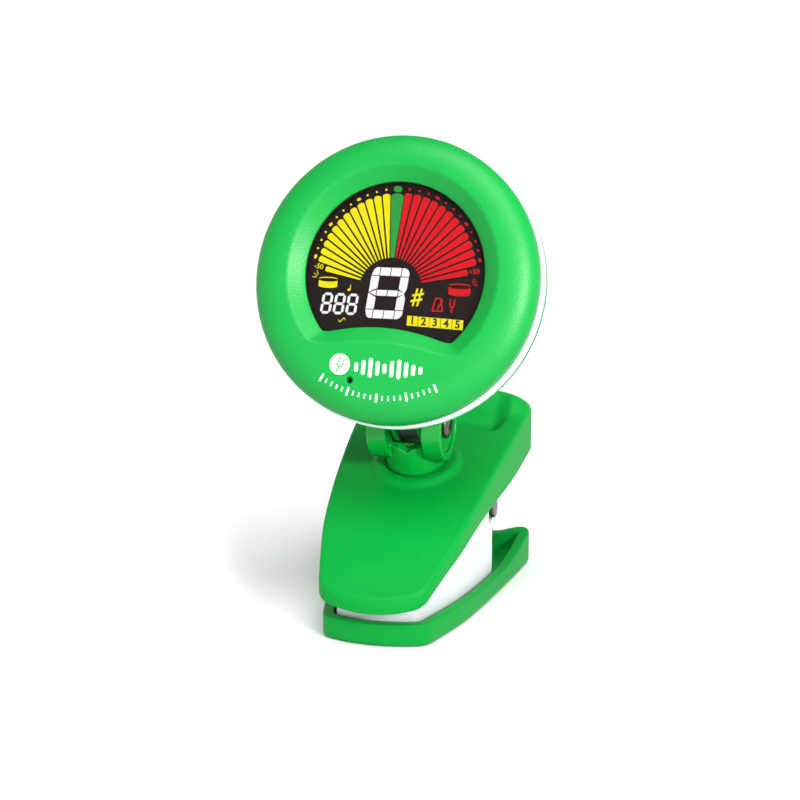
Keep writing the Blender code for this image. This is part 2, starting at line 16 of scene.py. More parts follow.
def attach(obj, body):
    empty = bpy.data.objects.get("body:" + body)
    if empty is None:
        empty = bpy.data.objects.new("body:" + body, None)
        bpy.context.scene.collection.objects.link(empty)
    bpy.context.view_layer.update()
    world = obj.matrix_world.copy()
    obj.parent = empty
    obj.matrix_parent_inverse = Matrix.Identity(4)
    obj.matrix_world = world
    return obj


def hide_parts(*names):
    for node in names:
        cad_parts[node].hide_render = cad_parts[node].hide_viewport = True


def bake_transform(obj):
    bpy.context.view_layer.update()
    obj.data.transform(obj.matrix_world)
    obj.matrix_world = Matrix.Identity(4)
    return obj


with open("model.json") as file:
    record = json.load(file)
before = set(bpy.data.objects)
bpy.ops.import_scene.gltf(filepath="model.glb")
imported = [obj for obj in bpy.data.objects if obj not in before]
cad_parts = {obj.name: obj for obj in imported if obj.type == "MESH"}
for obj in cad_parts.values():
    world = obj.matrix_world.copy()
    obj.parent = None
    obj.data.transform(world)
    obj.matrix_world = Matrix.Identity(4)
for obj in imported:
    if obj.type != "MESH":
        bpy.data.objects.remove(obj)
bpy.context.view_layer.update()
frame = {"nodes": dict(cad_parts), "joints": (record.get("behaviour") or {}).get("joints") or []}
MM = 0.001
GAP = 0.3

# Head
HEAD_R = 22.99
CREST_R = 18.2
CREST_DROP = 3.0
BEZEL_BACK = -4.7
BEZEL_PLATE = -2.2
CASE_INNER_R = 21.6
RING_R = 23.34
RING_INNER_R = 21.3
RING_Z = (-5.0, -7.2)
COVER_FRONT = -7.5
COVER_BACK = -11.8
COVER_R = 23.3
COVER_FLAT_R = 18.2
COVER_WALL = 1.4
SCREW_POST_R = 2.0
SCREW_HOLE_R = 1.1
SCREW_POSTS = [(17.2, 8.0), (-17.2, 8.0), (-17.2, -8.0), (17.2, -8.0)]
WINDOW_R = 14.6
WINDOW_Y = 0.8
WINDOW_ROLL = radians(-2.5)
ARCH_Y = -8.65               # top of the arch that closes the window, from the window's centre
ARCH_RISE = 1.45
ARCH_HALF = 9.5
RECESS_DEPTH = 1.8
RECESS_SLOPE = 0.72
RECESS_STRAIGHT = 2.1        # width of the straight part of the recess's slope
MIC_AT = (-5.3, -16.5)
LCD_FACE = -3.3
LID_R = 11.0
BUTTON_Y = 14.6
BUTTON_PITCH = 6.5
BUTTON_R = 1.8
BUZZER_AT = (-15.0, -1.0)

# Swivel
POST_R = 5.0
POST_TOP = 6.0
EAR_R = 6.0
EAR_RECESS_R = 4.7
EAR_X = (3.0, 6.25)
EAR_SEAT = EAR_X[1] - 0.9    # floor of the recess and of the nut's pocket in the ears
NUT_POCKET_R = 2.8
LUG_R = 3.3
LUG_X = 2.7
LUG_POCKET = 1.9
BUSH_R = 2.6
NECK_R = 2.9
BORE_R = 1.5
SEAT = 0.3                   # height of the flat that the post turns on
SEAT_RING = (5.35, 6.6, 7.9) # inner edge, crest and outer edge of the raised ring
SEAT_RISE = 0.75

# Clip
CLIP_WIDTHS = [(3.0, 8.9), (8.0, 10.2), (14.0, 11.6), (22.0, 12.7), (32.0, 13.7), (42.0, 14.5), (51.5, 15.0)]
UPPER_Y = (-29.2, 22.6)
LOWER_Y = (-27.3, 22.3)
UPPER_EDGE = (22.0, 0.355, -0.0039)
UPPER_RIM = [(-30.0, 5.2), (-24.0, 8.6), (-16.0, 12.0), (-8.0, 14.7), (0.0, 16.4), (10.0, 18.0),
             (23.0, 21.0)]
LOWER_RIM = [(-28.0, 3.7), (-16.0, 3.6), (-2.0, 3.1), (8.0, 3.2), (15.0, 4.3), (23.0, 6.3)]
CROWN = 0.8
DISH_START = 11.0
DISH_DEPTH = 2.1
TAIL_START = 16.6
TAIL_RISE = 3.5
ARM_PLATE = 1.8
ARM_WALL = 1.8
RIM_ROUND = 0.35
PAD_INSET = 2.3
PAD_ROUND = 0.25
PARTING = (10.57, 0.207)
LOWER_PAD_REAR = 6.8
UPPER_PAD_REAR = 4.5
PIVOT_EAR_R = 2.6
PIN_R = 1.0
PIN_HEAD_R = 1.7
LOWER_EAR_X = (8.0, 10.0)
UPPER_EAR_X = (5.7, 7.7)
SPRING_R = 2.3
SPRING_WIRE_R = 0.45
SPRING_TURNS = 6.5
SPRING_PITCH = 1.35


# ---- frames

JOINTS = {joint["name"]: joint for joint in frame["joints"]}


def local_frame(origin, z_axis):
    """Matrix from local millimetres to metres in the row frame, with local x along the row's X."""
    z = Vector(z_axis).normalized()
    x = Vector((1, 0, 0))
    matrix = Matrix((x, z.cross(x), z)).transposed().to_4x4()
    matrix.translation = origin
    return matrix @ Matrix.Scale(MM, 4)


def head_frame():
    normal = Vector(JOINTS["battery_lid_twist"]["axis"]).normalized()
    at = Vector(JOINTS["battery_lid_twist"]["pos_m"])
    front = max(normal.dot(vertex.co) for vertex in frame["nodes"]["front_bezel"].data.vertices)
    return local_frame(at + normal * (front - normal.dot(at)), normal)


WORLD = Matrix.Scale(MM, 4)
SWIVEL = local_frame(Vector(JOINTS["fork_swivel"]["pos_m"]), JOINTS["fork_swivel"]["axis"])
TILT = local_frame(Vector(JOINTS["head_tilt"]["pos_m"]), JOINTS["fork_swivel"]["axis"])
HEAD = head_frame()
TILT_H = (TILT.translation - SWIVEL.translation).length / MM
PIVOT = Vector(JOINTS["jaw_hinge"]["pos_m"]) / MM
SWIVEL_IN_WORLD = WORLD.inverted() @ SWIVEL
TILT_IN_HEAD = (HEAD.inverted() @ TILT).translation
SIDEWAYS = Matrix.Rotation(radians(90), 4, "Y")     # turns z to x


# ---- mesh helpers

def link(obj):
    bpy.context.scene.collection.objects.link(obj)
    return obj


def put(thing, **settings):
    """Set several attributes of one thing."""
    for name, value in settings.items():
        setattr(thing, name, value)
    return thing


def new_object(name, bm):
    """A bmesh, still in local millimetres, as an object."""
    bmesh.ops.recalc_face_normals(bm, faces=bm.faces)
    mesh = bpy.data.meshes.new(name)
    bm.to_mesh(mesh)
    bm.free()
    return link(bpy.data.objects.new(name, mesh))


def take_mesh(obj):
    """The object's mesh as a bmesh; the object is removed."""
    bm = bmesh.new()
    bm.from_mesh(obj.data)
    bpy.data.objects.remove(obj)
    return bm


def apply_modifiers(obj):
    bpy.context.view_layer.update()
    evaluated = obj.evaluated_get(bpy.context.evaluated_depsgraph_get())
    mesh = bpy.data.meshes.new_from_object(evaluated)
    obj.modifiers.clear()
    old = obj.data
    obj.data = mesh
    bpy.data.meshes.remove(old)


def combine(obj, operation, bm, move):
    """A boolean of obj and another closed shape, both in obj's own local frame."""
    if move is not None:
        bm.transform(move)
    tool = new_object("tool", bm)
    put(obj.modifiers.new("boolean", "BOOLEAN"), operation=operation, object=tool, solver="EXACT")
    apply_modifiers(obj)
    bpy.data.objects.remove(tool)


def join(obj, bm, move=None):
    combine(obj, "UNION", bm, move)


def cut(obj, bm, move=None):
    combine(obj, "DIFFERENCE", bm, move)


def cut_cross(obj, half_length, half_width, z_a, z_b, centre=(0, 0)):
    """A cross recess for a screwdriver."""
    x, y = centre
    for a, b in ((half_length, half_width), (half_width, half_length)):
        cut(obj, box((x - a, y - b, z_a), (x + a, y + b, z_b)))


def bevel(obj, width, segments):
    put(obj.modifiers.new("bevel", "BEVEL"), width=width, segments=segments, limit_method="ANGLE",
        angle_limit=radians(35))
    apply_modifiers(obj)


def soften(obj, voxel, passes):
    """Moulded look: an even mesh with every edge and corner rounded."""
    put(obj.modifiers.new("remesh", "REMESH"), mode="VOXEL", voxel_size=voxel)
    put(obj.modifiers.new("smooth", "SMOOTH"), factor=0.5, iterations=passes)
    apply_modifiers(obj)


def finish_piece(obj, matrix, body, finish, *nodes, sharp=35):
    """Put a piece in the row frame, give it its finish and let it ride on its body."""
    material, slot = FINISHES[finish]
    obj.data.transform(matrix)
    obj.data.shade_smooth()
    obj.data.set_sharp_from_angle(angle=radians(sharp))
    obj.data.materials.clear()
    obj.data.materials.append(material)
    if body:
        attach(obj, body)
    if nodes:
        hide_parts(*nodes)


def piece(name, bm, *place_and_finish, **options):
    """A shape that needs no cutting, made and finished."""
    finish_piece(new_object(name, bm), *place_and_finish, **options)


def arc(cx, cy, radius, start, end, steps):
    """Points on a circle, angles in degrees, both ends included."""
    angles = np.radians(np.linspace(start, end, steps + 1))
    return [(cx + radius * cos(a), cy + radius * sin(a)) for a in angles]


def moved(points, at, size=1.0, turn=0.0, slant=0.0):
    """2-D points scaled, slanted, turned and moved."""
    c, s = size * cos(turn), size * sin(turn)
    return [(at[0] + c * (x + slant * y) - s * y, at[1] + s * (x + slant * y) + c * y) for x, y in points]


def smooth_through(points, t):
    """A smooth curve through (t, value) points, by cubic pieces with averaged slopes."""
    last = len(points) - 2
    k = max([i for i in range(last + 1) if t >= points[i][0]] or [0])
    slopes = []
    for i in (k, k + 1):
        a = points[max(i - 1, 0)]
        b = points[min(i + 1, last + 1)]
        slopes.append((b[1] - a[1]) / (b[0] - a[0]))
    step = points[k + 1][0] - points[k][0]
    u = (t - points[k][0]) / step
    return ((2 * u ** 3 - 3 * u ** 2 + 1) * points[k][1] + (u ** 3 - 2 * u ** 2 + u) * step * slopes[0]
            + (3 * u ** 2 - 2 * u ** 3) * points[k + 1][1] + (u ** 3 - u ** 2) * step * slopes[1])


def ease(t):
    """0 below 0, 1 above 1, smooth between."""
    t = min(1.0, max(0.0, t))
    return t * t * (3 - 2 * t)


def bend(a, b, c, steps):
    """Points on a curve that leaves a towards b and arrives at c; steps are shares of the way."""
    a, b, c = Vector(a), Vector(b), Vector(c)
    return [tuple(a * (1 - t) ** 2 + b * 2 * t * (1 - t) + c * t * t) for t in steps]


def rounded_profile(points, radius, steps=4):
    """An (r, z) profile whose corners are rounded; the first and last points stay."""
    out = [points[0]]
    for before, here, after in zip(points, points[1:], points[2:]):
        here, a, b = Vector(here), Vector(before) - Vector(here), Vector(after) - Vector(here)
        back = min(radius, 0.45 * a.length, 0.45 * b.length)
        out += bend(here + a.normalized() * back, here, here + b.normalized() * back,
                    np.linspace(0, 1, steps + 1))
    out.append(points[-1])
    return out


def rounded_ring(points, radius, steps=4):
    """A closed (r, z) profile with every corner rounded."""
    loop = [points[-1]] + list(points) + [points[0]]
    return rounded_profile(loop, radius, steps)[1:-1]


def revolve(profile, segments=96, closed=False, centre=(0, 0)):
    """Turn an (r, z) profile about z; a closed profile makes a ring."""
    bm = bmesh.new()
    rings = []
    for r, z in profile:
        if r == 0:
            rings.append([bm.verts.new((centre[0], centre[1], z))])
        else:
            circle = arc(centre[0], centre[1], r, 0, 360, segments)[:-1]
            rings.append([bm.verts.new((x, y, z)) for x, y in circle])
    pairs = list(zip(rings, rings[1:]))
    if closed:
        pairs.append((rings[-1], rings[0]))
    for upper, lower in pairs:
        for i in range(segments):
            corners = [upper[i % len(upper)], upper[(i + 1) % len(upper)],
                       lower[(i + 1) % len(lower)], lower[i % len(lower)]]
            corners = list(dict.fromkeys(corners))
            if len(corners) > 2:
                bm.faces.new(corners)
    return bm


def turned(points, radius, segments=64, centre=(0, 0)):
    """A solid of revolution with rounded corners, from its top centre to its bottom centre."""
    return revolve(rounded_profile(points, radius), segments, centre=centre)


def disc(radius, z_a, z_b, centre=(0, 0), segments=48):
    return revolve([(0, z_a), (radius, z_a), (radius, z_b), (0, z_b)], segments, centre=centre)


def loft(outlines, closed=False):
    """Join outlines of equal length, each a list of (x, y, z); cap the ends or close the ring."""
    bm = bmesh.new()
    loops = [[bm.verts.new(p) for p in outline] for outline in outlines]
    pairs = list(zip(loops, loops[1:]))
    if closed:
        pairs.append((loops[-1], loops[0]))
    for a, b in pairs:
        for i in range(len(a)):
            j = (i + 1) % len(a)
            bm.faces.new((a[i], a[j], b[j], b[i]))
    if not closed:
        bm.faces.new(loops[0])
        bm.faces.new(list(reversed(loops[-1])))
    return bm


def prism(outline, z_a, z_b):
    return loft([[(x, y, z) for x, y in outline] for z in (z_a, z_b)])


def side_prism(outline, x_a, x_b):
    """A prism along X from an outline of (y, z) points."""
    return loft([[(x, y, z) for y, z in outline] for x in (x_a, x_b)])


def side_disc(radius, x_a, x_b, y, z, segments=64):
    return side_prism(arc(y, z, radius, 0, 360, segments)[:-1], x_a, x_b)


def box(low, high):
    corners = [(low[0], low[1]), (high[0], low[1]), (high[0], high[1]), (low[0], high[1])]
    return prism(corners, low[2], high[2])


def stadium(length, radius, steps=12):
    """Outline of a slot with round ends, centred on the origin."""
    half = length / 2 - radius
    return arc(half, 0, radius, -90, 90, steps) + arc(-half, 0, radius, 90, 270, steps)


def merged(shapes):
    """Several closed shapes that don't touch, as one bmesh."""
    whole = bmesh.new()
    for shape in shapes:
        mesh = bpy.data.meshes.new("part")
        shape.to_mesh(mesh)
        shape.free()
        whole.from_mesh(mesh)
        bpy.data.meshes.remove(mesh)
    return whole


def hull_outline(points):
    """Convex outline round a set of 2-D points, anticlockwise."""
    points = sorted(set(points))
    chains = []
    for run in (points, points[::-1]):
        chain = []
        for p in run:
            while len(chain) > 1 and ((chain[-1][0] - chain[-2][0]) * (p[1] - chain[-2][1])
                                      - (chain[-1][1] - chain[-2][1]) * (p[0] - chain[-2][0])) <= 1e-9:
                chain.pop()
            chain.append(p)
        chains += chain[:-1]
    return chains


# ---- materials

def node(mat, kind, **inputs):
    """A new shader node; its inputs are values or other nodes' outputs, with _ for each space."""
    new = mat.node_tree.nodes.new("ShaderNode" + kind)
    for name, value in inputs.items():
        socket = new.inputs[name.replace("_", " ")]
        if isinstance(value, bpy.types.NodeSocket):
            mat.node_tree.links.new(value, socket)
        else:
            socket.default_value = value
    return new


def base_material(name, colour, roughness, **sockets):
    """A Principled material; its other sockets are given by name, with _ for each space."""
    mat = bpy.data.materials.new(name)
    mat.use_nodes = True
    shader = mat.node_tree.nodes["Principled BSDF"]
    sockets.update(Base_Color=(*colour, 1), Roughness=roughness)
    for socket, value in sockets.items():
        shader.inputs[socket.replace("_", " ")].default_value = value
    return mat, shader


def noise(mat, scale, detail=3.0, stretch=None):
    """A noise texture in object space; scale is in features per metre."""
    place = node(mat, "TexCoord").outputs["Object"]
    if stretch is not None:
        place = node(mat, "Mapping", Vector=place, Scale=stretch).outputs["Vector"]
    return node(mat, "TexNoise", Vector=place, Scale=scale, Detail=detail).outputs["Fac"]


def add_bump(mat, shader, height, strength, distance):
    bump = node(mat, "Bump", Strength=strength, Distance=distance, Height=height)
    mat.node_tree.links.new(bump.outputs["Normal"], shader.inputs["Normal"])


def colour_ramp(mat, source, low, high, start=0.3, end=0.7):
    """A colour that runs from low to high while the source runs from start to end."""
    ramp = node(mat, "ValToRGB", Fac=source)
    for element, position, colour in zip(ramp.color_ramp.elements, (start, end), (low, high)):
        element.position = position
        element.color = (*colour, 1)
    return ramp.outputs["Color"]


def vary(mat, shader, socket, source, low, high):
    """Drive a number or a colour of the shader by a texture, between two values."""
    if socket == "Base Color":
        value = colour_ramp(mat, source, low, high)
    else:
        value = node(mat, "MapRange", Value=source, To_Min=low, To_Max=high).outputs["Result"]
    mat.node_tree.links.new(value, shader.inputs[socket])


def moulded(name, colour, roughness, grain=3200.0, depth=0.00006, mottle=0.02, **sockets):
    """Moulded plastic: fine even grain, faint mottling in colour and gloss."""
    mat, shader = base_material(name, colour, roughness, **sockets)
    broad = noise(mat, 260.0, 4.0)
    darker = tuple(c * (1 - mottle) for c in colour)
    lighter = tuple(min(1.0, c * (1 + mottle)) for c in colour)
    vary(mat, shader, "Base Color", broad, darker, lighter)
    vary(mat, shader, "Roughness", broad, roughness - 0.02, roughness + 0.02)
    add_bump(mat, shader, noise(mat, grain, 1.0), 0.6, depth)
    return mat


def metal(name, colour, roughness, stretch):
    """Plated or turned metal with fine brushing."""
    mat, shader = base_material(name, colour, roughness, Metallic=1.0)
    fine = noise(mat, 2600.0, 4.0, stretch)
    vary(mat, shader, "Roughness", fine, roughness - 0.08, roughness + 0.12)
    vary(mat, shader, "Base Color", fine, tuple(c * 0.86 for c in colour), colour)
    add_bump(mat, shader, fine, 0.2, 0.00001)
    return mat


def glowing(name, colour, strength):
    """A lit display segment, with a faint unevenness of the light behind it."""
    mat, shader = base_material(name, colour, 0.4, Specular_IOR_Level=0.1, Emission_Color=(*colour, 1),
                                Emission_Strength=strength)
    vary(mat, shader, "Base Color", noise(mat, 900.0, 2.0), tuple(0.17 * c for c in colour),
         tuple(0.23 * c for c in colour))
    return mat


def make_lens():
    """Clear, glossy acrylic: nearly all of the light passes straight through."""
    mat, shader = base_material("lens_acrylic", (0.02, 0.02, 0.02), 0.06, Alpha=0.12)
    vary(mat, shader, "Roughness", noise(mat, 700.0, 2.0), 0.04, 0.08)
    return mat


def make_board():
    """Green solder mask with rows of tracks, from a stretched wave pattern."""
    mat, shader = base_material("board_laminate", (0.01, 0.11, 0.04), 0.4)
    place = node(mat, "TexCoord").outputs["Object"]
    tracks = node(mat, "TexWave", Vector=place, Scale=500.0, Distortion=3.0).outputs["Fac"]
    vary(mat, shader, "Base Color", tracks, (0.008, 0.09, 0.03), (0.02, 0.17, 0.06))
    add_bump(mat, shader, tracks, 0.3, 0.00002)
    return mat


# Each finish: its material and the record's slot that it belongs to.
FINISHES = {
    "green": (moulded("green_plastic", (0.0, 0.285, 0.034), 0.46, Specular_IOR_Level=0.12), "green_plastic"),
    "gloss_green": (moulded("glossy_green_plastic", (0.0, 0.29, 0.03), 0.26, Specular_IOR_Level=0.4),
                    "green_plastic"),
    # The case's copy of the green plastic is a little darker than the arms': painted shade that evens out
    # the spot light which falls on the head.
    "shaded_case_green": (moulded("case_green_plastic", (0.0, 0.262, 0.036), 0.42, Specular_IOR_Level=0.3),
                   "green_plastic"),
    "pad": (moulded("white_silicone", (0.70, 0.72, 0.75), 0.55, 3800.0, 0.000015, 0.02,
                    Subsurface_Weight=0.12, Subsurface_Scale=0.0012), "white_rubber"),
    "button": (moulded("button_rubber", (0.84, 0.85, 0.86), 0.5, 5000.0, 0.000012, 0.02), "button_rubber"),
    "clear": (moulded("rim_plastic", (0.66, 0.84, 0.78), 0.16, 1500.0, 0.000004, 0.01,
                      Subsurface_Weight=0.3, Subsurface_Scale=0.002), "clear_plastic"),
    "guide": (moulded("light_guide", (0.9, 0.92, 0.92), 0.25, 2000.0, 0.000005, 0.01), "light_guide"),
    "rubber": (moulded("black_rubber", (0.025, 0.025, 0.026), 0.65, 4000.0, 0.00002, 0.1), "black_rubber"),
    "black": (moulded("black_plastic", (0.02, 0.02, 0.021), 0.45, 5000.0, 0.00002, 0.1), "black_plastic"),
    "print": (moulded("white_print", (0.85, 0.95, 0.88), 0.4, 8000.0, 0.000004, 0.02), "white_rubber"),
    "icon": (moulded("grey_print", (0.18, 0.2, 0.2), 0.5, 8000.0, 0.000004, 0.05), "black_rubber"),
    "steel": (metal("nickel_steel", (0.62, 0.61, 0.59), 0.28, (1, 12, 1)), "steel"),
    "dark_steel": (metal("dark_steel", (0.16, 0.155, 0.15), 0.3, (1, 12, 1)), "steel"),
    "brass": (metal("bright_brass", (0.8, 0.6, 0.26), 0.26, (12, 1, 1)), "brass"),
    "field": (moulded("lcd_field", (0.007, 0.002, 0.0015), 0.3, 1200.0, 0.000001, 0.2,
                      Specular_IOR_Level=0.1), "lcd_glass"),
    "ink": (moulded("lcd_ink", (0.012, 0.008, 0.004), 0.5, 1200.0, 0.000001, 0.2), "lcd_glass"),
    "lens": (make_lens(), "lens_plastic"),
    "board": (make_board(), "board_laminate"),
    "yellow": (glowing("segment_yellow", (1.0, 0.87, 0.0), 0.86), "lcd_glass"),
    "red": (glowing("segment_red", (0.8, 0.001, 0.008), 0.82), "lcd_glass"),
    "lime": (glowing("segment_green", (0.03, 0.42, 0.06), 0.75), "lcd_glass"),
    "white": (glowing("segment_white", (1.0, 1.0, 1.0), 0.86), "lcd_glass"),
}


# ---- head

def front_height(r):
    """Height of the front face at a radius: flat inside the crest, then a quarter ellipse."""
    if r <= CREST_R:
        return 0.0
    share = min(1.0, (r - CREST_R) / (HEAD_R - CREST_R))
    return CREST_DROP * (sqrt(1 - share * share) - 1)


def window_radius(angle, grow):
    """Distance from the window's centre to its edge, grown outwards, with softened corners."""
    turned_angle = angle - WINDOW_ROLL
    radius = WINDOW_R + grow
    curve = ARCH_RISE / (ARCH_HALF + 0.6 * grow) ** 2
    c, s = cos(turned_angle), sin(turned_angle)
    depth = -ARCH_Y + grow
    square = s * s - 4 * curve * c * c * depth
    if s >= 0 or square < 0:
        return radius
    across = 2 * depth / (-s + sqrt(square))
    soft = 1.6 + 0.6 * grow
    overlap = max(soft - abs(radius - across), 0) / soft
    return min(radius, across) - overlap * overlap * soft / 4


def window_loop(grow, z, count=288):
    loop = []
    for i in range(count):
        a = 2 * pi * i / count
        r = window_radius(a, grow)
        loop.append((r * cos(a), WINDOW_Y + r * sin(a), z))
    return loop


def circle_loop(r, z, count=288):
    return [(x, y, z) for x, y in arc(0, 0, r, 0, 360, count)[:-1]]


def build_bezel():
    rise_start = -RECESS_DEPTH + RECESS_SLOPE * RECESS_STRAIGHT
    reach = RECESS_STRAIGHT - 2 * rise_start / RECESS_SLOPE
    loops = [circle_loop(CASE_INNER_R, BEZEL_BACK), circle_loop(HEAD_R - 0.2, BEZEL_BACK),
             circle_loop(HEAD_R - 0.06, BEZEL_BACK + 0.06), circle_loop(HEAD_R, BEZEL_BACK + 0.2)]
    for x, y in arc(0, 0, 1, 0, 90, 18):
        loops.append(circle_loop(CREST_R + (HEAD_R - CREST_R) * x, CREST_DROP * (y - 1)))
    for i in range(9):
        g = reach + (RECESS_STRAIGHT - reach) * i / 8
        z = rise_start * ((reach - g) / (reach - RECESS_STRAIGHT)) ** 2
        loops.append(window_loop(g, z))
    loops += [window_loop(0.75, -RECESS_DEPTH + 0.75 * RECESS_SLOPE), window_loop(0.12, -RECESS_DEPTH + 0.1),
              window_loop(0.03, -RECESS_DEPTH + 0.01), window_loop(0, -RECESS_DEPTH - 0.1),
              window_loop(0, BEZEL_PLATE), circle_loop(CREST_R, BEZEL_PLATE),
              circle_loop(CASE_INNER_R - 0.5, -CREST_DROP), circle_loop(CASE_INNER_R, -CREST_DROP - 0.5)]
    bezel = new_object("front_shell", loft(loops, closed=True))
    join(bezel, merged([disc(SCREW_POST_R, -2.0, -7.0, at, 40) for at in SCREW_POSTS]))
    cut(bezel, merged([disc(SCREW_HOLE_R, -3.9, -8.0, at, 32) for at in SCREW_POSTS]))
    hole = [(0, 1.0), (0.75, 1.0), (0.75, 0.02), (0.5, -0.22), (0.5, -4.0), (0, -4.0)]
    cut(bezel, revolve(hole, 40, centre=MIC_AT))
    finish_piece(bezel, HEAD, "head", "shaded_case_green", "front_bezel", sharp=28)

    profile = rounded_ring([(RING_INNER_R, RING_Z[0]), (RING_R, RING_Z[0]), (RING_R, RING_Z[1]),
                            (RING_INNER_R, RING_Z[1])], 0.45, 5)
    piece("rim_band", revolve(profile, 240, closed=True), HEAD, "head", "clear", "rim_ring")


def build_lens():
    """The lens with a softened front edge; the panel and the light guide stay CAD nodes."""
    low, high = -3.0, -2.5
    loops = [window_loop(1.05, low), window_loop(1.2, low + 0.12), window_loop(1.2, high - 0.12),
             window_loop(1.05, high)]
    piece("window_lens", loft(loops), HEAD, "head", "lens", "display_lens")


def build_rear():
    rise = COVER_FRONT - COVER_BACK
    outer = [(COVER_FLAT_R + (COVER_R - COVER_FLAT_R) * x, COVER_FRONT - rise * y)
             for x, y in arc(0, 0, 1, 0, 90, 20)]
    inner = [(COVER_FLAT_R - 1 + (HEAD_R - COVER_WALL - COVER_FLAT_R + 1) * x,
              COVER_FRONT - (rise - COVER_WALL) * y) for x, y in arc(0, 0, 1, 90, 0, 12)]
    opening = LID_R + GAP
    profile = outer + [(opening + 0.25, COVER_BACK), (opening + 0.07, COVER_BACK + 0.07),
                       (opening, COVER_BACK + 0.25), (opening, COVER_BACK + COVER_WALL)] + inner
    cover = new_object("rear_shell", revolve(profile, 200, closed=True))
    join(cover, merged([disc(SCREW_POST_R, -7.4, -10.9, at, 40) for at in SCREW_POSTS]))
    up, out, around = TILT_IN_HEAD.y, TILT_IN_HEAD.z, BUSH_R + GAP
    ring = arc(up, out, LUG_R, 0, 360, 72)[:-1]
    lug = new_object("lug", side_prism(hull_outline(ring + [(-20.0, -11.0), (-13.5, -11.0)]), -LUG_X, LUG_X))
    bevel(lug, 0.35, 4)
    join(cover, take_mesh(lug))
    cut(cover, box((-LUG_POCKET, up - 6, out - 6), (LUG_POCKET, up + around, out + around)))
    cut(cover, box((-LUG_POCKET, up - 6, out), (LUG_POCKET, up, -12.5)))
    cut(cover, side_disc(BORE_R, -5, 5, up, out, 40))
    edge = BUTTON_R + GAP
    screw_hole = [(0, -7.0), (SCREW_HOLE_R, -7.0), (SCREW_HOLE_R, -9.7), (1.9, -9.7), (1.9, -11.6),
                  (2.15, -11.85), (2.15, -13.0), (0, -13.0)]
    key_hole = [(0, -9.0), (edge, -9.0), (edge, -11.55), (edge + 0.28, -11.83), (edge + 0.28, -13.0),
                (0, -13.0)]
    sound_hole = [(0, -9.0), (0.55, -9.0), (0.55, -11.65), (0.72, -11.85), (0.72, -13.0), (0, -13.0)]
    holes = [revolve(screw_hole, 48, centre=at) for at in SCREW_POSTS]
    for i in (-1, 0, 1):
        holes.append(revolve(key_hole, 56, centre=(BUTTON_PITCH * i, BUTTON_Y)))
        holes.append(revolve(sound_hole, 32, centre=(BUZZER_AT[0], BUZZER_AT[1] + 1.8 * i)))
    cut(cover, merged(holes))
    finish_piece(cover, HEAD, "head", "shaded_case_green", "rear_cover", sharp=28)
    bolt = [(0, -4.4), (0.75, -4.4), (0.75, -10.0), (1.6, -10.0), (1.6, -10.7), (1.2, -11.0), (0, -11.0)]
    for i, at in enumerate(SCREW_POSTS):
        screw = new_object("case_bolt_%d" % (i + 1), turned(bolt, 0.12, 40, at))
        cut_cross(screw, 0.9, 0.17, -12, -10.55, at)
        finish_piece(screw, HEAD, "head", "steel", "case_screw_%d" % (i + 1))


def build_lid():
    shape = [(0, -10.8), (LID_R, -10.8), (LID_R, -11.8), (0, -11.8)]
    lid = new_object("battery_lid_disc", turned(shape, 0.25, 160))
    cut(lid, prism(stadium(12.0, 0.8), -12.5, -11.3))
    grip = [(0, -11.6), (0.35, -11.65), (0.6, -11.85), (0.6, -12.5), (0, -12.5)]
    spots = [arc(0, 0, 8.8, angle, angle, 1)[0] for angle in (90, 210, 330)]
    cut(lid, merged([revolve(grip, 32, centre=at) for at in spots]))
    finish_piece(lid, HEAD, "battery_lid", "shaded_case_green", "battery_cover")


def build_buttons():
    """Domed rubber keys, each with a plain printed sign: down, power and up."""
    for i, name in enumerate(("down", "power", "up")):
        at = (BUTTON_PITCH * (i - 1), BUTTON_Y)
        dome = [(0, -8.6), (2.4, -8.6), (2.4, -10.1), (BUTTON_R, -10.1), (BUTTON_R, -12.0)]
        dome = rounded_profile(dome + [(1.45, -12.35), (0.8, -12.47), (0, -12.5)], 0.15)
        piece(name + "_key_dome", revolve(dome, 64, centre=at),
              HEAD, name + "_key", "button", name + "_button")
        if name == "power":
            signs = [arc(0, 0, 0.62, 125, 415, 24) + arc(0, 0, 0.45, 415, 125, 24),
                     [(-0.09, 0.2), (0.09, 0.2), (0.09, 0.75), (-0.09, 0.75)]]
        else:
            way = 1 if name == "up" else -1
            signs = [[(-0.6, -0.35 * way), (0.6, -0.35 * way), (0, 0.6 * way)]]
        piece(name + "_sign", merged([prism(moved(p, at), -12.4, -12.5) for p in signs]),
              HEAD, name + "_key", "icon")


# ---- display art

FAN_AT = Vector((-0.9, -1.4))    # where the bars' centre lines meet
BAR_STEP = 5.75                  # degrees from one bar to the next
FIRST_BAR = 6.9
BARS = 12
DIAL_AT = Vector((-0.1, 0.9))    # centre of the ring of dots and of the bars' outer ends
BAR_R = 13.0
DOT_R = 13.65
ART = (LCD_FACE + 0.01, LCD_FACE + 0.05)


def hit_circle(start, direction, centre, radius):
    """How far along a ray from start the circle is, on its far side."""
    offset = start - centre
    along = offset.dot(direction)
    return -along + sqrt(along * along - offset.length_squared + radius * radius)


def art(points, at=(0, 0), rise=0.0, **place):
    """One flat shape of the display."""
    return prism(moved(points, at, **place), ART[0], ART[1] + rise)


def wedge_bar(angle, inner, outer, half_angle, gap):
    """A bar that widens outwards along a ray from the fan's centre, with a round outer end."""
    root, end = (reach * tan(half_angle) - gap for reach in (inner, outer))
    tip = [(outer + 0.6 * (x - end), y) for x, y in arc(0, 0, end, -90, 90, 8)]
    return art([(inner, -root)] + tip + [(inner, root)], FAN_AT, turn=angle)


def dot(at, radius, squash=1.0, turn=0.0):
    return art([(x, y * squash) for x, y in arc(0, 0, radius, 0, 360, 20)[:-1]], at, turn=turn)


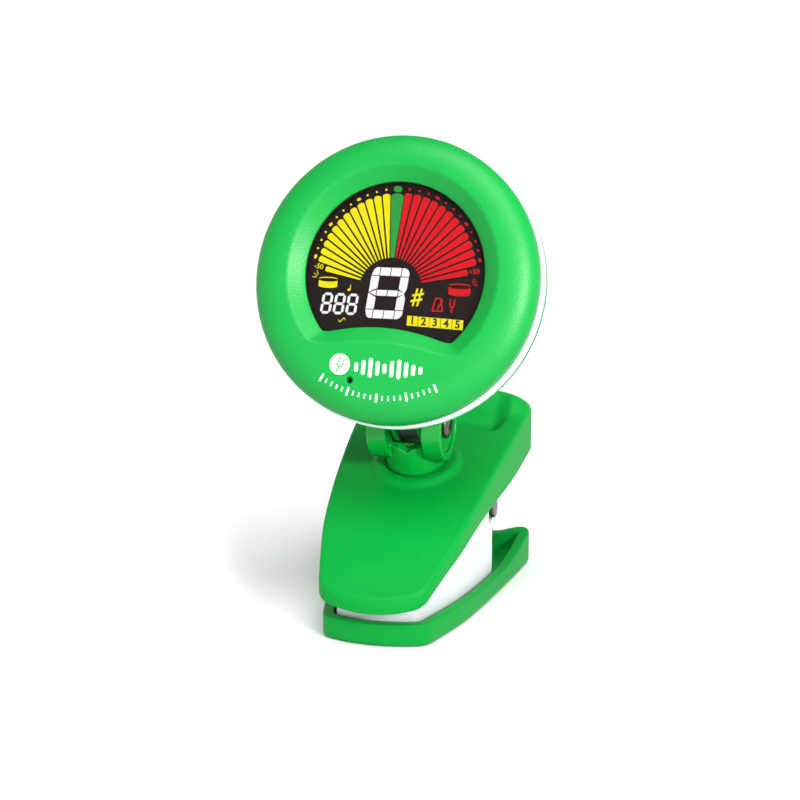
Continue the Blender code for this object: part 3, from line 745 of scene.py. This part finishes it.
def fan_side(side):
    """Bars and dots on one side of the dial: -1 left, 1 right."""
    shapes = []
    for k in range(BARS + 1):
        angle = radians(90 - side * (FIRST_BAR + BAR_STEP * k))
        along = Vector((cos(angle), sin(angle)))
        short = 1.4 if k == BARS else 0.0
        outer = hit_circle(FAN_AT, along, DIAL_AT, BAR_R) - short
        inner = hit_circle(FAN_AT, along, Vector((-0.8, -1.7)), 5.2)
        shapes.append(wedge_bar(angle, inner, outer, radians(BAR_STEP / 2), 0.15))
        if k < BARS:
            place = FAN_AT + along * hit_circle(FAN_AT, along, DIAL_AT, DOT_R)
            large = (k + 1) % 4 == 0
            shapes.append(dot(place, 0.36 if large else 0.17, 0.65 if large else 1.0, angle + pi / 2))
    return shapes


def centre_bar():
    inner = hit_circle(FAN_AT, Vector((0, 1)), Vector((-0.8, -1.7)), 5.2)
    outer = hit_circle(FAN_AT, Vector((0, 1)), DIAL_AT, BAR_R - 0.1)
    bar = wedge_bar(pi / 2, inner, outer, radians(4.0), 0.04)
    return [bar, dot(FAN_AT + Vector((0, 15.85)), 0.72, 0.72)]


def bar_shape(a, b, width, point, gap=0.0):
    """A straight segment with bevelled ends, which stops short of a and b by a gap."""
    along = (Vector(b) - Vector(a)).normalized()
    a, b = Vector(a) + along * gap, Vector(b) - along * gap
    side = Vector((-along.y, along.x)) * width / 2
    return [tuple(a), tuple(a + along * point + side), tuple(b - along * point + side), tuple(b),
            tuple(b - along * point - side), tuple(a + along * point - side)]


def small_digit(at, width, height, stroke, slant):
    """Seven segments showing an eight."""
    left, right = stroke / 2, width - stroke / 2
    levels = (stroke / 2, height / 2, height - stroke / 2)
    spans = [((left, y), (right, y)) for y in levels]
    spans += [((x, low), (x, high)) for x in (left, right) for low, high in zip(levels, levels[1:])]
    return [art(bar_shape(a, b, stroke, stroke / 2, 0.07), at, slant=slant) for a, b in spans]


def large_digit(at, width, height, stroke, slant):
    """A many-segment eight: four-part bars above and below, one-part sides and a split waist."""
    gap, corner, half = 0.07, 0.75, 0.46
    third = (width - 2 * stroke) / 2
    waist, side, notch = height / 2, stroke + 2 * gap, height / 2 - 0.75
    left, right = stroke - gap, width - stroke + gap

    def cell(k, low, high):
        """A rectangle between two of the three upright cuts."""
        x = stroke + gap + third * k
        return [(x, low), (x + third - 2 * gap, low), (x + third - 2 * gap, high), (x, high)]

    lower = [[(0.3, 0.3), (corner, 0), (left, 0), (left, stroke), (0, stroke)],
             cell(0, 0, stroke), cell(1, 0, stroke),
             [(right, 0), (width - corner, 0), (width - 0.3, 0.25), (width, corner), (width, stroke),
              (right, stroke)],
             [(0, side), (stroke, side), (stroke, notch), (0, waist - gap)],
             [(width - stroke, side), (width, side), (width, notch), (width - 0.3, waist - gap),
              (width - stroke, notch)]]
    upper = [[(x, height - y) for x, y in reversed(outline)] for outline in lower]
    middle = [[(0.15, waist), (left, waist - half), (left, waist + half)],
              cell(0, waist - half, waist + half), cell(1, waist - half, waist + half),
              [(right, waist - half), (width - 0.2, waist), (right, waist + half)]]
    return [art(outline, at, slant=slant) for outline in lower + upper + middle]


def drum(at, width, side):
    """A small drum seen from above its rim, with three short rays on one side."""
    half = width / 2

    def bow(scale, level, rise, start, end):
        return [(half * scale * cos(a), half * (level + rise * sin(a)))
                for a in np.linspace(start, end, 12)]
    body = [(-half, -0.14 * half), (-half, -0.75 * half)] + bow(1, -0.75, -0.2, pi, 0)
    body += [(half, -0.14 * half)] + bow(1, -0.14, -0.16, 0, pi)[1:-1]
    lip = bow(1, 0, 0.2, 0, pi) + bow(0.9, -0.02 / half, 0.1, pi, 0)
    rays = [art(bar_shape((0.4, 0), (1.15, 0), 0.11, 0.04), (at[0] + side * half, at[1] + 0.2),
                turn=radians(90 - side * turn)) for turn in (25, 57, 90)]
    return [art(body, at), art(lip, at)] + rays


def sharp_sign(at, slant):
    shapes = []
    for x in (-0.36, 0.36):
        upright = [(x - 0.15, -1.4), (x + 0.15, -1.4), (x + 0.15, 1.4), (x - 0.15, 1.4)]
        shapes.append(art(upright, at, slant=slant))
    for y in (-0.45, 0.45):
        stroke = [(-0.9, y - 0.36), (0.9, y - 0.02), (0.9, y + 0.34), (-0.9, y)]
        shapes.append(art(stroke, at, 0.01, slant=slant))
    return shapes


def metronome_sign(at):
    """A plain metronome: an open trapezium with a leaning arm."""
    corners = [(-0.85, -1.0), (0.85, -1.0), (0.4, 1.0), (-0.4, 1.0)]
    strokes = list(zip(corners, corners[1:] + corners[:1])) + [((0, -0.7), (0.75, 0.85))]
    return [art(bar_shape(a, b, 0.2, 0.02), at, 0.002 * i) for i, (a, b) in enumerate(strokes)]


def fork_sign(at, size, ends, turn=0.0):
    """A plain tuning fork, as a U with a stem."""
    prongs = [(-0.5, 1.2)] + arc(0, 0, 0.5, 180, 360, 12) + [(0.5, 1.2), (0.27, 1.2)]
    prongs += arc(0, 0, 0.27, 360, 180, 10) + [(-0.27, 1.2)]
    stem = [(-0.12, -0.45), (0.12, -0.45), (0.12, -1.35), (-0.12, -1.35)]
    return [prism(moved(points, at, size, turn), ends[0], ends[1] - 0.004 * i)
            for i, points in enumerate((prongs, stem))]


def wave_sign(at):
    upper = [(x, 0.28 * sin(x * 5.2) + 0.09) for x in np.linspace(-0.6, 0.6, 17)]
    return [art(upper + [(x, y - 0.18) for x, y in reversed(upper)], at)]


def note_sign(at):
    stem = [(0.2, -0.3), (0.32, -0.3), (0.32, 0.5), (0.2, 0.5)]
    return [dot((at[0] + 0.05, at[1] - 0.3), 0.27, 0.75, 0.4), art(stem, at, 0.004)]


def numerals(name, text, at, size, bold, finish, z, turn=0.0):
    """A few plain numerals in Blender's own font, as a thin mesh on the display."""
    curve = put(bpy.data.curves.new(name, "FONT"), body=text, size=size, extrude=0.02, offset=bold,
                align_x="CENTER", align_y="CENTER")
    obj = link(bpy.data.objects.new(name, curve))
    bpy.context.view_layer.update()
    mesh = bpy.data.meshes.new_from_object(obj.evaluated_get(bpy.context.evaluated_depsgraph_get()))
    bpy.data.objects.remove(obj)
    mesh.transform(Matrix.Translation((at[0], at[1], z)) @ Matrix.Rotation(turn, 4, "Z"))
    finish_piece(link(bpy.data.objects.new(name, mesh)), HEAD, "head", finish)


def build_display():
    yellow = fan_side(-1) + drum((-11.1, -0.3), 3.1, -1) + sharp_sign((3.7, -2.6), 0.2)
    yellow += wave_sign((-8.3, -6.75)) + note_sign((-7.6, -1.6))
    for i in range(5):
        x, y = 2.35 + 1.83 * i, -5.55 - 0.06 * i
        yellow.append(art([(0, 0), (0, -1.55), (1.74, -1.6), (1.74, -0.05)], (x, y)))
        numerals("box_number_%d" % (i + 1), str(i + 1), (x + 0.87, y - 0.8), 1.7, 0.05, "ink", ART[1] + 0.02)
    red = fan_side(1) + drum((10.4, -0.45), 3.5, 1) + metronome_sign((7.1, -3.6))
    red += fork_sign((9.4, -3.6), 0.85, ART)
    white = large_digit((-4.7, -6.2), 6.1, 8.1, 1.3, 0.1)
    for i in range(3):
        white += small_digit((-12.1 + 2.1 * i, -5.9), 1.78, 3.4, 0.42, 0.1)
    for name, shapes, finish in (("yellow", yellow, "yellow"), ("red", red, "red"),
                                 ("green", centre_bar(), "lime"), ("white", white, "white")):
        piece("segments_" + name, merged(shapes), HEAD, "head", finish)
    numerals("dial_minus_50", "-50", (-12.85, 1.6), 1.15, 0.012, "yellow", ART[1], -0.15)
    numerals("dial_plus_50", "+50", (12.5, 1.8), 1.15, 0.012, "red", ART[1], 0.1)


PRINT = (-0.05, 0.012)           # the print's underside and face, from the front's surface
BADGE_AT = (-7.0, -14.1)
LEVELS_Y = -14.4
LEVELS = (1.4, 2.3, 3.0, 2.2, 1.5, 2.5, 3.0, 2.3, 1.7, 1.2)
TICKS = 21


def build_print():
    """Plain white printing below the window: a tuning-fork badge, level bars and a row of ticks."""
    badge = new_object("badge", disc(1.65, *PRINT, BADGE_AT, 64))
    for hole in fork_sign(BADGE_AT, 1.0, (-0.2, 0.2), -0.4):
        cut(badge, hole)
    shapes = []
    for i, height in enumerate(LEVELS):
        bar = moved(stadium(height, 0.3, 8), (-4.3 + 1.15 * i, LEVELS_Y), turn=pi / 2)
        shapes.append(prism(bar, *PRINT))
    for i in range(TICKS):
        angle = radians(239.0 + 58.0 * i / (TICKS - 1))
        inner, outer, half = (18.4, 19.7, 0.16) if i % 5 == 0 else (18.7, 19.4, 0.1)
        outlines = []
        for r in np.linspace(inner, outer, 4):
            left, right = moved([(r, half), (r, -half)], (0, 0), turn=angle)
            bottom, top = (front_height(r) + z for z in PRINT)
            outlines.append([(*left, top), (*right, top), (*right, bottom), (*left, bottom)])
        shapes.append(loft(outlines))
    piece("front_print", merged(shapes), HEAD, "head", "print")
    finish_piece(badge, HEAD, "head", "print")


# ---- swivel

def build_fork():
    body = [(0, POST_TOP), (POST_R, POST_TOP), (POST_R, 0.6), (NECK_R, 0.6), (NECK_R, -2.0), (0, -2.0)]
    fork = new_object("fork_post", revolve(body, 96))
    for side in (1, -1):
        x_a, x_b = sorted(side * x for x in EAR_X)
        join(fork, side_disc(EAR_R, x_a, x_b, 0, TILT_H, 96))
    cut(fork, side_disc(LUG_R + 0.35, -EAR_X[0], EAR_X[0], 0, TILT_H, 80))
    notch = [(-1.5, POST_TOP + 0.1), (1.5, POST_TOP + 0.1), (0.0, POST_TOP - 0.8)]
    cut(fork, loft([[(x, y, z) for x, z in notch] for y in (-6.0, -3.0)]))
    cut(fork, side_disc(BORE_R, -8, 8, 0, TILT_H, 40))
    cut(fork, side_disc(EAR_RECESS_R, EAR_SEAT, 8, 0, TILT_H, 80))
    cut(fork, side_disc(NUT_POCKET_R, -8, -EAR_SEAT, 0, TILT_H, 6))
    cut(fork, disc(1.2, -3, 2.0, segments=32))
    soften(fork, 0.11, 6)
    finish_piece(fork, SWIVEL, "fork", "gloss_green", "swivel_fork", sharp=60)

    seam = [(x, -sqrt((POST_R + 0.05) ** 2 - x * x)) for x in (-0.07, 0.0, 0.07)]
    seam += [(0.07, -POST_R + 0.2), (-0.07, -POST_R + 0.2)]
    piece("fork_seam", prism(seam, 0.9, POST_TOP - 1.3), SWIVEL, "fork", "gloss_green")

    washer = rounded_ring([(1.3, -2.3), (4.6, -2.3), (4.6, -2.9), (1.3, -2.9)], 0.12)
    piece("washer", revolve(washer, 72, closed=True), SWIVEL, "fork", "steel", "swivel_washer")
    profile = [(0, 1.6), (0.9, 1.6), (0.9, -3.2), (2.6, -3.2), (2.6, -4.2), (1.9, -4.7), (0, -4.7)]
    screw = new_object("post_screw", turned(profile, 0.15, 48))
    cut_cross(screw, 1.3, 0.22, -5, -4.2)
    finish_piece(screw, SWIVEL, "fork", "steel", "swivel_screw")


def build_tilt_screw():
    profile = [(0, EAR_SEAT + 1.2), (1.6, EAR_SEAT + 1.15), (2.3, EAR_SEAT + 0.75), (2.3, EAR_SEAT + GAP),
               (1.2, EAR_SEAT + GAP), (1.2, -7.1), (0, -7.1)]
    bolt = turned(profile, 0.12, 48)
    bolt.transform(SIDEWAYS)
    screw = new_object("tilt_bolt", bolt)
    cut(screw, box((6.05, -1.35, -0.22), (7, 1.35, 0.22)))
    cut(screw, box((6.05, -0.22, -1.35), (7, 0.22, 1.35)))
    finish_piece(screw, TILT, "fork", "dark_steel", "tilt_screw")
    # The friction sleeve is black rubber, which puts painted shade in the gap between the ears under the
    # head's edge: a dark piece where that gap is in shadow.
    sleeve = rounded_ring([(BORE_R, -1.6), (BUSH_R, -1.6), (BUSH_R, 1.6), (BORE_R, 1.6)], 0.15)
    piece("friction_sleeve_as_shade", revolve(sleeve, 64, closed=True),
          TILT @ SIDEWAYS, "fork", "rubber", "tilt_friction_bush")
    nut = new_object("tilt_hex_nut", side_disc(2.45, -6.8, -EAR_SEAT - GAP, 0, 0, 6))
    cut(nut, side_disc(BORE_R, -8, -4, 0, 0, 40))
    bevel(nut, 0.12, 2)
    finish_piece(nut, TILT, "fork", "brass", "tilt_nut")


# ---- clip

def clip_width(y, tip):
    return smooth_through(CLIP_WIDTHS, y - tip)


def resample(points, count):
    """Points spaced evenly along a polyline."""
    points = np.array(points)
    along = np.concatenate([[0], np.cumsum(np.linalg.norm(np.diff(points, axis=0), axis=1))])
    marks = np.linspace(0, along[-1], count + 1)
    return np.stack([np.interp(marks, along, points[:, k]) for k in range(2)], 1)


def clip_plan(tip, rear, inset, square_end=None, counts=(64, 110)):
    """Four sides of a jaw's plan, moved inwards: front, right, rear, left, as resampled points.

    The front is a low arch, the sides follow the clip's width, and the corners are round.
    """
    across, length = counts

    def side_x(y):
        return clip_width(max(y, tip + 2.0), tip) - inset
    if square_end is None:
        rear_y, round_off = rear - inset, max(0.5, 1.8 - inset)
    else:
        rear_y, round_off = square_end, 0.6
    front = [(x, tip + inset + 0.026 * x * x) for x in np.linspace(0, 14, 281)]
    meet = next(i for i, (x, y) in enumerate(front) if x >= side_x(y))
    corner = Vector(front[meet])
    tight = max(0.5, 1.8 - 0.4 * inset)
    start = next(p for p in reversed(front[:meet]) if (corner - Vector(p)).length >= tight)
    side = [(side_x(y), y) for y in np.linspace(corner.y + tight, rear_y, 120)]
    keep = [p for p in side if rear_y - p[1] >= round_off]
    shares = np.linspace(0, 1, 13)
    front_bend = bend(start, corner, side[0], shares)
    rear_bend = bend(keep[-1], side[-1], (side[-1][0] - round_off, rear_y), shares)
    a = resample([p for p in front[:meet] if p[0] < start[0]] + front_bend[:7], across // 2)
    b = resample(front_bend[6:] + keep[1:-1] + rear_bend[:7], length)
    c = resample(rear_bend[6:] + [(0.0, rear_y)], across // 2)
    mirror = np.array([-1.0, 1.0])
    front_side = np.concatenate([(a * mirror)[::-1], a[1:]])
    rear_side = np.concatenate([c, (c * mirror)[::-1][1:]])
    return front_side, b, rear_side, (b * mirror)[::-1]


def skin_points(plan):
    """Grid of points inside a plan, blended from its four sides."""
    front, right, rear, left = plan
    rear = rear[::-1]
    left = left[::-1]
    u = np.linspace(0, 1, len(front))[None, :, None]
    v = np.linspace(0, 1, len(right))[:, None, None]
    grid = (1 - v) * front[None] + v * rear[None] + (1 - u) * left[:, None] + u * right[:, None]
    corners = ((1 - u) * (1 - v) * front[0] + u * (1 - v) * front[-1]
               + (1 - u) * v * rear[0] + u * v * rear[-1])
    return grid - corners


def tub(plans_and_heights):
    """A closed shell: a skin, a ladder of loops round its edge, and a second skin."""
    bm = bmesh.new()

    def skin(plan, height):
        grid = skin_points(plan)
        verts = [[bm.verts.new((x, y, height(x, y))) for x, y in row] for row in grid]
        for r in range(len(verts) - 1):
            for c in range(len(verts[0]) - 1):
                bm.faces.new((verts[r][c], verts[r][c + 1], verts[r + 1][c + 1], verts[r + 1][c]))
        front, rear = verts[0], verts[-1]
        right = [row[-1] for row in verts]
        left = [row[0] for row in verts]
        return front[:-1] + right[:-1] + rear[::-1][:-1] + left[::-1][:-1]

    def edge(plan, height):
        loop = np.concatenate([side[:-1] for side in plan])
        return [bm.verts.new((x, y, height(x, y))) for x, y in loop]

    loops = [skin(*plans_and_heights[0])]
    loops += [edge(*step) for step in plans_and_heights[1:-1]]
    loops.append(skin(*plans_and_heights[-1]))
    for a, b in zip(loops, loops[1:]):
        for i in range(len(a)):
            j = (i + 1) % len(a)
            bm.faces.new((a[i], a[j], b[j], b[i]))
    return bm


def fillet_steps(plan, height, radius, way, inset=0.0, steps=5):
    """Loops that turn from a skin into a wall: way is -1 where the wall goes down from the skin."""
    out = []
    for i in range(steps + 1):
        a = radians(90 * i / steps)
        drop = radius * (1 - cos(a))
        here = plan(inset + radius * (1 - sin(a)))
        out.append((here, lambda x, y, d=drop: height(x, y) + way * d))
    return out


def upper_skin(x, y, ring=True):
    """Outer face of the upper arm: a crowned arch, the thumb dish and the ring round the post."""
    a, b, c = UPPER_EDGE
    f = x / clip_width(y, UPPER_Y[0])
    fade = ease((y - UPPER_Y[0] - 0.5) / 6.0) * ease((UPPER_Y[1] - 0.5 - y) / 3.0)
    z = a + b * y + c * y * y + fade * CROWN * (1 - f * f)
    half = clip_width(y, UPPER_Y[0]) - 2.6
    dish = ease((y - DISH_START) / 3.2) * ease((half - abs(x)) / 3.4)
    z -= DISH_DEPTH * dish * ease((UPPER_Y[1] - 0.4 - y) / 2.6)
    lip = TAIL_RISE * ease((y - TAIL_START) / 4.2) * max(0.0, 1 - abs(f) ** 5)
    z += lip * (1 - 0.25 * ease((y - 20.6) / 2.0))
    if not ring:
        return z
    local = SWIVEL_IN_WORLD.inverted() @ Vector((x, y, z))
    r = hypot(local.x, local.y)
    inner, crest, outer = SEAT_RING
    if r < crest:
        rise = SEAT_RISE - 0.12 * ease((crest - r) / (crest - inner))
    else:
        rise = SEAT_RISE * ease((outer - r) / (outer - crest))
    return z + rise / cos(radians(20))


def upper_rim(x, y):
    return smooth_through(UPPER_RIM, y)


def lower_rim(x, y):
    """Top of the lower arm's wall, which dips across the rear."""
    f = abs(x) / clip_width(y, LOWER_Y[0])
    dip = 1.1 * ease((y - 19.0) / 2.5) * (1 - ease((f - 0.55) / 0.35))
    return smooth_through(LOWER_RIM, y) - dip


def parting(y):
    return PARTING[0] + PARTING[1] * y


def rim_steps(plan, rim, way):
    """Loops across the rounded top of a wall: way is 1 where the rim is the wall's upper end."""
    turns = [radians(90 * i / 4) for i in range(5)]
    steps = [(RIM_ROUND * (1 - cos(a)), RIM_ROUND * (1 - sin(a))) for a in turns]
    steps += [(ARM_WALL - RIM_ROUND * (1 - sin(a)), RIM_ROUND * (1 - cos(a))) for a in turns]
    return [(plan(inset), lambda x, y, d=drop: rim(x, y) - way * d) for inset, drop in steps]


def arm_shell(plan, outer, inner, rim, radius, way):
    """An arm: its outer skin, its wall with a rounded rim, and its inner skin."""
    return tub(fillet_steps(plan, outer, radius, way) + rim_steps(plan, rim, way)
               + fillet_steps(plan, inner, 0.5, way, ARM_WALL)[::-1])


def pad_shell(plan, first, second, way):
    """A pad between two skins; way is 1 where it rises from the first to the second."""
    return tub(fillet_steps(plan, first, PAD_ROUND, way)
               + fillet_steps(plan, second, PAD_ROUND, -way)[::-1])


def pivot_ears(x_range, base):
    """Two lugs with their pin holes, as one bmesh."""
    ring = arc(PIVOT.y, PIVOT.z, PIVOT_EAR_R, 0, 360, 64)[:-1]
    outline = hull_outline(ring + base)
    ears = merged([side_prism(outline, *sorted(side * x for x in x_range)) for side in (1, -1)])
    obj = new_object("ears", ears)
    bevel(obj, 0.2, 3)
    cut(obj, side_disc(PIN_R + GAP, -12, 12, PIVOT.y, PIVOT.z, 40))
    return take_mesh(obj)


def build_lower_arm():
    def plan(inset):
        return clip_plan(*LOWER_Y, inset, counts=(40, 72))
    shell = arm_shell(plan, lambda x, y: 0.0, lambda x, y: ARM_PLATE, lower_rim, 0.7, 1)
    arm = new_object("lower_arm_tray", shell)
    join(arm, pivot_ears(LOWER_EAR_X, [(8.0, 1.0), (12.7, 1.0)]))
    finish_piece(arm, WORLD, "lower_jaw", "green", "lower_arm", sharp=40)


def build_upper_arm():
    def plan(inset):
        return clip_plan(*UPPER_Y, inset, counts=(90, 170))

    def ceiling(x, y):
        return upper_skin(x, y, ring=False) - ARM_PLATE
    arm = new_object("upper_arm_shell", arm_shell(plan, upper_skin, ceiling, upper_rim, 0.6, -1))
    cut(arm, disc(SEAT_RING[0], SEAT, 3.0, segments=96), SWIVEL_IN_WORLD)
    cut(arm, disc(NECK_R + GAP, 1.0, -4.0, segments=64), SWIVEL_IN_WORLD)
    join(arm, pivot_ears(UPPER_EAR_X, [(7.0, 22.8), (14.6, 24.6)]))
    finish_piece(arm, WORLD, "upper_jaw", "green", "upper_arm", sharp=40)


def build_pads():
    def lower_plan(inset):
        return clip_plan(*LOWER_Y, PAD_INSET + inset, LOWER_PAD_REAR, counts=(40, 60))

    def upper_plan(inset):
        return clip_plan(*UPPER_Y, PAD_INSET + inset, UPPER_PAD_REAR, counts=(40, 60))

    def roof(x, y):
        return upper_skin(x, y, ring=False) - ARM_PLATE - GAP
    lower = pad_shell(lower_plan, lambda x, y: ARM_PLATE + GAP, lambda x, y: parting(y) - GAP / 2, 1)
    piece("lower_pad", lower, WORLD, "lower_jaw", "pad", "lower_jaw_pad", sharp=40)
    upper = new_object("upper_pad", pad_shell(upper_plan, roof, lambda x, y: parting(y) + GAP / 2, -1))
    cut(upper, disc(5.7, -5.6, 2.0, segments=64), SWIVEL_IN_WORLD)
    finish_piece(upper, WORLD, "upper_jaw", "pad", "upper_jaw_pad", sharp=40)


def build_pin():
    under_head = LOWER_EAR_X[1] + GAP
    half = [(PIN_R, under_head), (PIN_HEAD_R, under_head), (PIN_HEAD_R, 11.2), (0, 11.2)]
    piece("hinge_pin", turned([(r, -x) for r, x in reversed(half)] + half, 0.3, 48),
          WORLD @ Matrix.Translation(PIVOT) @ SIDEWAYS, "lower_jaw", "dark_steel", "pivot_pin")


def tube(path, radius, sides=14):
    """A round wire along a polyline, capped at both ends."""
    outlines = []
    normal = (path[1] - path[0]).orthogonal()
    for i, point in enumerate(path):
        along = (path[min(i + 1, len(path) - 1)] - path[max(i - 1, 0)]).normalized()
        normal = (normal - along * normal.dot(along)).normalized()
        side = along.cross(normal)
        outlines.append([tuple(point + (normal * cos(a) + side * sin(a)) * radius)
                         for a in np.linspace(0, 2 * pi, sides + 1)[:-1]])
    return loft(outlines)


def build_spring():
    """Torsion spring round the pin, with a straight leg at each end."""
    start, sweep, steps = -75.0, 360.0 * SPRING_TURNS - 30.0, 230
    half = SPRING_PITCH * sweep / 720
    coil = []
    for i in range(steps + 1):
        a = radians(start + sweep * i / steps)
        coil.append((-half + 2 * half * i / steps, SPRING_R * cos(a), SPRING_R * sin(a)))
    legs = []
    for far, near, tip in (((-half, 7.2, -9.7), (-half, 3.5, -5.8), coil[0]),
                           ((half, 6.9, 10.9), (half, 3.6, 6.0), coil[-1])):
        line = [Vector(far).lerp(Vector(near), t) for t in np.linspace(0, 0.85, 10)]
        legs.append(line + bend(line[-1], near, tip, np.linspace(0.1, 0.95, 10)))
    path = legs[0] + coil + legs[1][::-1]
    spring = new_object("spring_wire", tube([Vector(p) + PIVOT for p in path], SPRING_WIRE_R))
    finish_piece(spring, WORLD, None, "steel", "torsion_spring", sharp=50)
    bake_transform(spring)


# ---- pieces that stay as CAD nodes

def dress_cad_nodes():
    finishes = {"field": ["lcd_panel"], "guide": ["backlight"], "rubber": ["lcd_connector"],
                "black": ["tuner_chip", "buzzer"], "board": ["circuit_board"],
                "steel": ["microphone", "coin_cell", "tact_switch_1", "tact_switch_2", "tact_switch_3"],
                "brass": ["vibration_sensor", "battery_contact_minus", "battery_contact_plus"]}
    for finish, names in finishes.items():
        for name in names:
            for slot in frame["nodes"][name].material_slots:
                slot.material = FINISHES[finish][0]


# ---- stage

def place_object(name, data, at, turn):
    """A light or a camera at a place, turned by a quaternion from looking straight down."""
    return put(link(bpy.data.objects.new(name, data)), location=at, rotation_mode="QUATERNION",
               rotation_quaternion=turn)


def add_light(name, kind, at, target, power, **settings):
    """A light that shines from a point towards a target; settings are the light's own."""
    data = put(bpy.data.lights.new(name, kind), energy=power, **settings)
    place_object(name, data, at, (Vector(target) - Vector(at)).to_track_quat("-Z", "Y"))


SKY = 0.36                   # brightness overhead; the horizon is white, like the floor


def build_stage():
    floor_mat, shader = base_material("pale_floor", (0.9, 0.9, 0.9), 0.7)
    vary(floor_mat, shader, "Roughness", noise(floor_mat, 20.0), 0.65, 0.8)
    bm = bmesh.new()
    bmesh.ops.create_grid(bm, x_segments=1, y_segments=1, size=20.0)
    floor = new_object("floor", bm)
    floor.data.materials.append(floor_mat)
    floor.location.z = -0.0001
    world = bpy.data.worlds.new("studio")
    world.use_nodes = True
    direction = node(world, "TexCoord").outputs["Generated"]
    height = node(world, "SeparateXYZ", Vector=direction).outputs["Z"]
    colour = colour_ramp(world, height, (1, 1, 1), (SKY, SKY, SKY), 0.22, 0.5)
    world.node_tree.links.new(colour, world.node_tree.nodes["Background"].inputs["Color"])
    bpy.context.scene.world = world
    add_light("key", "SUN", (0.20, -0.38, 0.90), (0, 0, 0), 2.7, angle=radians(42.0))
    add_light("front_fill", "AREA", (-0.02, -0.42, 0.06), (0, 0, 0.02), 0.2, shape="DISK", size=0.2)
    add_light("head_light", "SPOT", (0.23, -0.225, 0.155), HEAD.translation, 7.5,
              spot_size=radians(24.0), spot_blend=1.0, shadow_soft_size=0.04)
    bpy.context.scene.view_settings.view_transform = "Standard"


# Camera: azimuth towards +X, elevation, roll, distance from the target, and focal length.
CAMERA_AZIMUTH = 15.79
CAMERA_ELEVATION = 13.35
CAMERA_ROLL = -0.13
CAMERA_DISTANCE = 0.320
CAMERA_TARGET = (0.0, -0.0103, 0.0357)
CAMERA_LENS = 89.7


def build_camera():
    a, e = radians(CAMERA_AZIMUTH), radians(CAMERA_ELEVATION)
    back = Vector((sin(a) * cos(e), -cos(a) * cos(e), sin(e)))
    data = put(bpy.data.cameras.new("camera"), lens=CAMERA_LENS, clip_start=0.01)
    roll = Matrix.Rotation(radians(CAMERA_ROLL), 3, "Z").to_quaternion()
    at = Vector(CAMERA_TARGET) + back * CAMERA_DISTANCE
    bpy.context.scene.camera = place_object("camera", data, at, (-back).to_track_quat("-Z", "Y") @ roll)


# ---- the whole

def main():
    build_camera()
    build_stage()
    build_bezel()
    build_lens()
    build_rear()
    build_lid()
    build_buttons()
    build_display()
    build_print()
    build_fork()
    build_tilt_screw()
    build_lower_arm()
    build_upper_arm()
    build_pads()
    build_pin()
    build_spring()
    dress_cad_nodes()


main()
